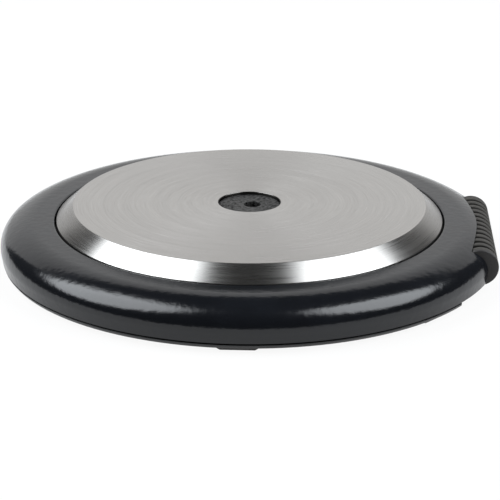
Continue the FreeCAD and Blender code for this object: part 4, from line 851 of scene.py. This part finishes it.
def slab(name, low, high):
    """A plain block used as a cutter."""
    mesh = bpy.data.meshes.new(name)
    work = bmesh.new()
    bmesh.ops.create_cube(work, size=1.0)
    for vertex in work.verts:
        share = vertex.co + Vector((0.5, 0.5, 0.5))
        vertex.co = Vector([low[k] + (high[k] - low[k]) * share[k] for k in range(3)])
    work.to_mesh(mesh)
    work.free()
    obj = bpy.data.objects.new(name, mesh)
    bpy.context.scene.collection.objects.link(obj)
    return obj


def turned_to(points, azimuth, x, y, z):
    """Points made round the Z axis, turned so that the axis points outwards at an azimuth."""
    out = np.array((math.cos(azimuth), math.sin(azimuth), 0))
    side = np.array((-math.sin(azimuth), math.cos(azimuth), 0))
    up = np.array((0, 0, 1.0))
    return (
        np.array((x, y, z))
        + points[..., 2:] * out
        + points[..., :1] * side
        + points[..., 1:2] * up
    )


def rod_profile(radius, start, end, edge):
    """Section of a plain round bar with rounded ends, from axis to axis."""
    return rounded(
        [(0, start, 0), (radius, start, edge), (radius, end, edge), (0, end, 0)], closed=False
    )


# ------------------------------------------------------------------ operators
class HOTPLATE_OT_plate(bpy.types.Operator):
    """Make the turned steel plate"""

    bl_idname = "hotplate.plate"
    bl_label = "Steel plate"

    def execute(self, context):
        profile = plate_profile(context.scene.hot_plate_plate)
        obj = piece("steel_plate", revolved(profile, 384))
        settle(obj, "base", "plate_steel", "heating_plate")
        return {"FINISHED"}


class HOTPLATE_OT_disc(bpy.types.Operator):
    """Make the dark disc in the middle of the plate"""

    bl_idname = "hotplate.disc"
    bl_label = "Centre disc"

    def execute(self, context):
        points = disc_points(context.scene.hot_plate_plate)
        obj = piece("dark_disc", points, wrap_rows=False)
        settle(obj, "base", "disc_iron", "centre_disc")
        return {"FINISHED"}


class HOTPLATE_OT_ring(bpy.types.Operator):
    """Make the glossy ring with the grip's bay and the openings at the rear"""

    bl_idname = "hotplate.ring"
    bl_label = "Body ring"

    def execute(self, context):
        look = context.scene.hot_plate_ring
        outer = ring_lines(look, 0.0)
        inner = ring_lines(look, look.wall)
        obj = piece("gloss_ring", np.concatenate([outer, inner[:, ::-1]], axis=1))
        gap = 0.2 * MM
        low = (INLET_LOW.x - gap, INLET_LOW.y - gap, INLET_LOW.z - gap)
        high = (INLET_HIGH.x + gap, RING_R + 5 * MM, INLET_HIGH.z + gap)
        slot = rod_profile(
            WHEEL_R + WHEEL_GAP, WHEEL_LOW.z - WHEEL_GAP, WHEEL_HIGH.z + WHEEL_GAP, 0.3 * MM
        )
        slot_points = revolved(slot, 120) + np.array((WHEEL_AT.x, WHEEL_AT.y, 0))
        lamp_way = math.atan2(LENS_AT.y, LENS_AT.x)
        hole = revolved(rod_profile(LENS_NECK + 0.1 * MM, -0.02, 0.02, 0.0), 64)
        cutters = [
            slab("inlet_cutter", low, high),
            piece("wheel_cutter", slot_points, wrap_columns=False),
            piece(
                "lamp_cutter",
                turned_to(hole, lamp_way, LENS_AT.x, LENS_AT.y, LENS_AT.z),
                wrap_columns=False,
            ),
        ]
        cut_away(obj, cutters)
        settle(obj, "base", "ring_black", "top_ring")
        return {"FINISHED"}


class HOTPLATE_OT_sleeve(bpy.types.Operator):
    """Make the ribbed sleeve of the carry grip"""

    bl_idname = "hotplate.sleeve"
    bl_label = "Grip sleeve"

    def execute(self, context):
        look = context.scene.hot_plate_grip
        pitch = (GRIP_HALF * 2 - look.rib_width) / (look.ribs - 1)
        floor = GRIP_R - look.rib_height
        root = look.rib_edge * 0.5
        corners = [(look.bore, -GRIP_HALF, 0)]
        for i in range(look.ribs):
            start = -GRIP_HALF + i * pitch
            end = start + look.rib_width
            if i > 0:
                corners.append((floor, start, root))
            corners.append((GRIP_R, start, look.rib_edge))
            corners.append((GRIP_R, end, look.rib_edge))
            if i < look.ribs - 1:
                corners.append((floor, end, root))
        corners.append((look.bore, GRIP_HALF, 0))
        points = along_y(revolved(rounded(corners, steps=4), 128), GRIP_X, GRIP_Z)
        obj = piece("ribbed_sleeve", points)
        settle(obj, "carry_handle", "grip_rubber", "grip_sleeve")
        return {"FINISHED"}


class HOTPLATE_OT_caps(bpy.types.Operator):
    """Make the end caps of the carry grip"""

    bl_idname = "hotplate.caps"
    bl_label = "Grip caps"

    def execute(self, context):
        look = context.scene.hot_plate_grip
        thick = SLEEVE_LOW.y - CAP_LOW.y
        pin_end = CAP_HIGH.y - CAP_LOW.y
        corners = [
            (0, 0, 0),
            (GRIP_R * 0.72, 0, GRIP_R * 0.3),
            (GRIP_R, 0.12 * MM, look.cap_edge),
            (GRIP_R, thick, 0.2 * MM),
            (look.pin, thick, 0),
            (look.pin, pin_end, 0.4 * MM),
            (0, pin_end, 0),
        ]
        profile = rounded(corners, closed=False)
        for side, name in ((-1, "front"), (1, "rear")):
            reach = profile.copy()
            reach[:, 1] = side * (-CAP_LOW.y - profile[:, 1])
            points = along_y(revolved(reach, 128), GRIP_X, GRIP_Z)
            obj = piece("end_cap_" + name, points, wrap_columns=False)
            settle(obj, "carry_handle", "cap_black", "grip_cap_" + name)
        return {"FINISHED"}


class HOTPLATE_OT_wheel(bpy.types.Operator):
    """Make the notched heat wheel"""

    bl_idname = "hotplate.wheel"
    bl_label = "Heat wheel"

    def execute(self, context):
        low, top = WHEEL_LOW.z, WHEEL_HIGH.z
        edge = (top - low) * 0.16
        corners = [
            (WHEEL_BORE, low, 0),
            (WHEEL_R, low, edge),
            (WHEEL_R, top, edge),
            (WHEEL_R * 0.78, top, 0.3 * MM),
            (WHEEL_R * 0.74, top - WHEEL_DISH, 0.3 * MM),
            (WHEEL_BORE, top - WHEEL_DISH, 0),
        ]
        profile = rounded(corners)
        angle = np.linspace(0, 2 * math.pi, NOTCHES * 12, endpoint=False)
        pitch = 2 * math.pi / NOTCHES
        off = (angle + pitch / 2) % pitch - pitch / 2
        deep = np.sqrt(np.clip(NOTCH_R ** 2 - (off * WHEEL_R) ** 2, 0, None)) - NOTCH_R * 0.3
        near = np.clip((profile[:, 0] - WHEEL_R * 0.9) / (WHEEL_R * 0.07), 0, 1)
        wave = np.clip(deep, 0, None)[:, None] * near[None]
        points = revolved(profile, len(angle), wave)
        points = points + np.array((WHEEL_AT.x, WHEEL_AT.y, 0))
        obj = piece("notched_wheel", points)
        settle(obj, "heat_control", "wheel_black", "heat_wheel")
        return {"FINISHED"}


class HOTPLATE_OT_lens(bpy.types.Operator):
    """Make the amber lens of the pilot lamp"""

    bl_idname = "hotplate.lens"
    bl_label = "Lamp lens"

    def execute(self, context):
        face = RING_R + 0.05 * MM
        flange = face + 0.8 * MM
        corners = [
            (2.3 * MM, face - 6.0 * MM, 0),
            (LENS_NECK, face - 6.0 * MM, 0.1 * MM),
            (LENS_NECK, face, 0),
            (LENS_FLANGE, face, 0.1 * MM),
            (LENS_FLANGE, flange, 0.3 * MM),
            (3.2 * MM, flange, 0.2 * MM),
            (2.2 * MM, flange + 0.5 * MM, 2.0 * MM),
            (0, flange + 0.68 * MM, 0),
            (0, face - 1.0 * MM, 0),
            (2.3 * MM, face - 1.0 * MM, 0.2 * MM),
        ]
        way = math.atan2(LENS_AT.y, LENS_AT.x)
        points = turned_to(revolved(rounded(corners), 96), way, 0, 0, LENS_AT.z)
        obj = piece("amber_lens", points)
        settle(obj, "base", "lens_amber", "lamp_lens")
        return {"FINISHED"}


SOFTENED = (
    ("base_plate", "base", "base_black", 0.25 * MM),
    ("power_inlet", "base", "inlet_black", 0.35 * MM),
    ("inlet_blades", "base", "brass", 0.2 * MM),
    ("earth_contacts", "base", "brass", 0.1 * MM),
) + tuple(
    ("foot_" + side, "base", "foot_rubber", 0.4 * MM)
    for side in ("front", "front_right", "rear_right", "rear", "left")
)


class HOTPLATE_OT_softened(bpy.types.Operator):
    """Round the edges of the dish, the feet and the inlet"""

    bl_idname = "hotplate.softened"
    bl_label = "Dish, feet and inlet"

    def execute(self, context):
        for node, body, slot, width in SOFTENED:
            settle(softened(node, width), body, slot, node)
        return {"FINISHED"}


class HOTPLATE_OT_carried(bpy.types.Operator):
    """Give every carried piece the finish of its record slot"""

    bl_idname = "hotplate.carried"
    bl_label = "Inner pieces"

    def execute(self, context):
        for part in frame["record"]["subparts"]:
            obj = NODES[part["node"]]
            obj.data.materials.clear()
            obj.data.materials.append(finish_for(context.scene, part["material_slot"]))
        return {"FINISHED"}


def aimed(name, data, middle, azimuth, elevation, distance):
    """An object that looks at the middle from an azimuth (0 is +Y, 90 degrees is +X)."""
    way = Vector(
        (
            math.sin(azimuth) * math.cos(elevation),
            math.cos(azimuth) * math.cos(elevation),
            math.sin(elevation),
        )
    )
    obj = bpy.data.objects.new(name, data)
    bpy.context.scene.collection.objects.link(obj)
    obj.location = middle + way * distance
    obj.rotation_euler = (-way).to_track_quat("-Z", "Y").to_euler()
    return obj


def faded(light, middle, radius, rim):
    """Dims the outer quarter of a light's face, down to the given share at its rim."""
    light.use_nodes = True
    build = Nodes(light.node_tree)
    reach = build.add("ShaderNodeVectorMath", operation="DISTANCE")
    build.link(build.add("ShaderNodeNewGeometry").outputs["Position"], reach.inputs[0])
    reach.inputs[1].default_value = middle
    share = build.spread(reach.outputs["Value"], radius * 0.75, radius, 1.0, rim)
    build.link(share, light.node_tree.nodes["Emission"].inputs["Strength"])


class HOTPLATE_OT_stage(bpy.types.Operator):
    """Set up the floor, the soft lights and the camera"""

    bl_idname = "hotplate.stage"
    bl_label = "Studio"

    def execute(self, context):
        scene = context.scene
        look = scene.hot_plate_studio
        middle = Vector((0, 0, PLATE_HIGH.z))
        mesh = bpy.data.meshes.new("floor")
        reach = 8.0
        mesh.from_pydata(
            [(-reach, -reach, 0), (reach, -reach, 0), (reach, reach, 0), (-reach, reach, 0)],
            [],
            [(0, 1, 2, 3)],
        )
        floor = bpy.data.objects.new("floor", mesh)
        scene.collection.objects.link(floor)
        mesh.materials.append(lit_floor(look))
        for name, azimuth, elevation, radius in (
            ("soft_left", -94.0, 48.3, 0.87),
            ("soft_right", 99.8, 47.4, 0.79),
        ):
            light = bpy.data.lights.new(name, "AREA")
            light.shape = "DISK"
            light.size = radius * 2
            light.color = look.soft_tint
            light.energy = look.soft_glow * math.pi * math.pi * radius ** 2
            box = aimed(name, light, middle, math.radians(azimuth), math.radians(elevation), 1.6)
            faded(light, box.location, radius, look.soft_rim)
        light = bpy.data.lights.new("back_panel", "AREA")
        light.shape = "RECTANGLE"
        light.size = 3.0
        light.size_y = 1.45
        light.energy = look.back_glow * math.pi * light.size * light.size_y
        aimed("back_panel", light, middle, math.radians(-2.5), math.radians(22), 1.8)
        world = bpy.data.worlds.new("room")
        scene.world = world
        world.use_nodes = True
        build = Nodes(world.node_tree)
        room = world.node_tree.nodes["Background"]
        room.inputs["Strength"].default_value = look.ambient
        white = build.add("ShaderNodeBackground")
        pick = build.add("ShaderNodeMixShader")
        build.link(build.add("ShaderNodeLightPath").outputs["Is Camera Ray"], pick.inputs[0])
        build.link(room.outputs[0], pick.inputs[1])
        build.link(white.outputs[0], pick.inputs[2])
        room.inputs["Color"].default_value = (1, 1, 1, 1)
        white.inputs["Color"].default_value = (1, 1, 1, 1)
        build.link(pick.outputs[0], world.node_tree.nodes["World Output"].inputs["Surface"])
        camera = bpy.data.cameras.new("camera")
        camera.lens = look.focal
        camera.dof.use_dof = False
        obj = bpy.data.objects.new("camera", camera)
        scene.collection.objects.link(obj)
        turn_by, rise = look.azimuth, look.elevation
        back = Vector(
            (math.sin(turn_by) * math.cos(rise), -math.cos(turn_by) * math.cos(rise), math.sin(rise))
        )
        level = Vector((math.cos(turn_by), math.sin(turn_by), 0))
        upright = back.cross(level)
        right = level * math.cos(look.roll) + upright * math.sin(look.roll)
        up = upright * math.cos(look.roll) - level * math.sin(look.roll)
        spot = middle + back * look.distance + right * look.aside - up * look.drop
        obj.matrix_world = Matrix.Translation(spot) @ Matrix((right, up, back)).transposed().to_4x4()
        scene.camera = obj
        scene.view_settings.view_transform = "Standard"
        return {"FINISHED"}


OPERATORS = (
    HOTPLATE_OT_carried,
    HOTPLATE_OT_plate,
    HOTPLATE_OT_disc,
    HOTPLATE_OT_ring,
    HOTPLATE_OT_sleeve,
    HOTPLATE_OT_caps,
    HOTPLATE_OT_wheel,
    HOTPLATE_OT_lens,
    HOTPLATE_OT_softened,
    HOTPLATE_OT_stage,
)


class HOTPLATE_PT_panel(bpy.types.Panel):
    """Lists the pieces and the studio"""

    bl_idname = "HOTPLATE_PT_panel"
    bl_label = "Round hot plate"
    bl_space_type = "VIEW_3D"
    bl_region_type = "UI"
    bl_category = "Hot plate"

    def draw(self, context):
        for operator in OPERATORS:
            self.layout.operator(operator.bl_idname)


LOOKS = {
    "hot_plate_plate": PlateLook,
    "hot_plate_ring": RingLook,
    "hot_plate_grip": GripLook,
    "hot_plate_studio": StudioLook,
}


def register():
    for name, look in LOOKS.items():
        bpy.utils.register_class(look)
        setattr(bpy.types.Scene, name, PointerProperty(type=look))
    for operator in OPERATORS:
        bpy.utils.register_class(operator)
    bpy.utils.register_class(HOTPLATE_PT_panel)


def unregister():
    bpy.utils.unregister_class(HOTPLATE_PT_panel)
    for operator in reversed(OPERATORS):
        bpy.utils.unregister_class(operator)
    for name, look in LOOKS.items():
        delattr(bpy.types.Scene, name)
        bpy.utils.unregister_class(look)


def main():
    register()
    for operator in OPERATORS:
        group, name = operator.bl_idname.split(".")
        getattr(getattr(bpy.ops, group), name)()


if __name__ == "__main__":
    main()
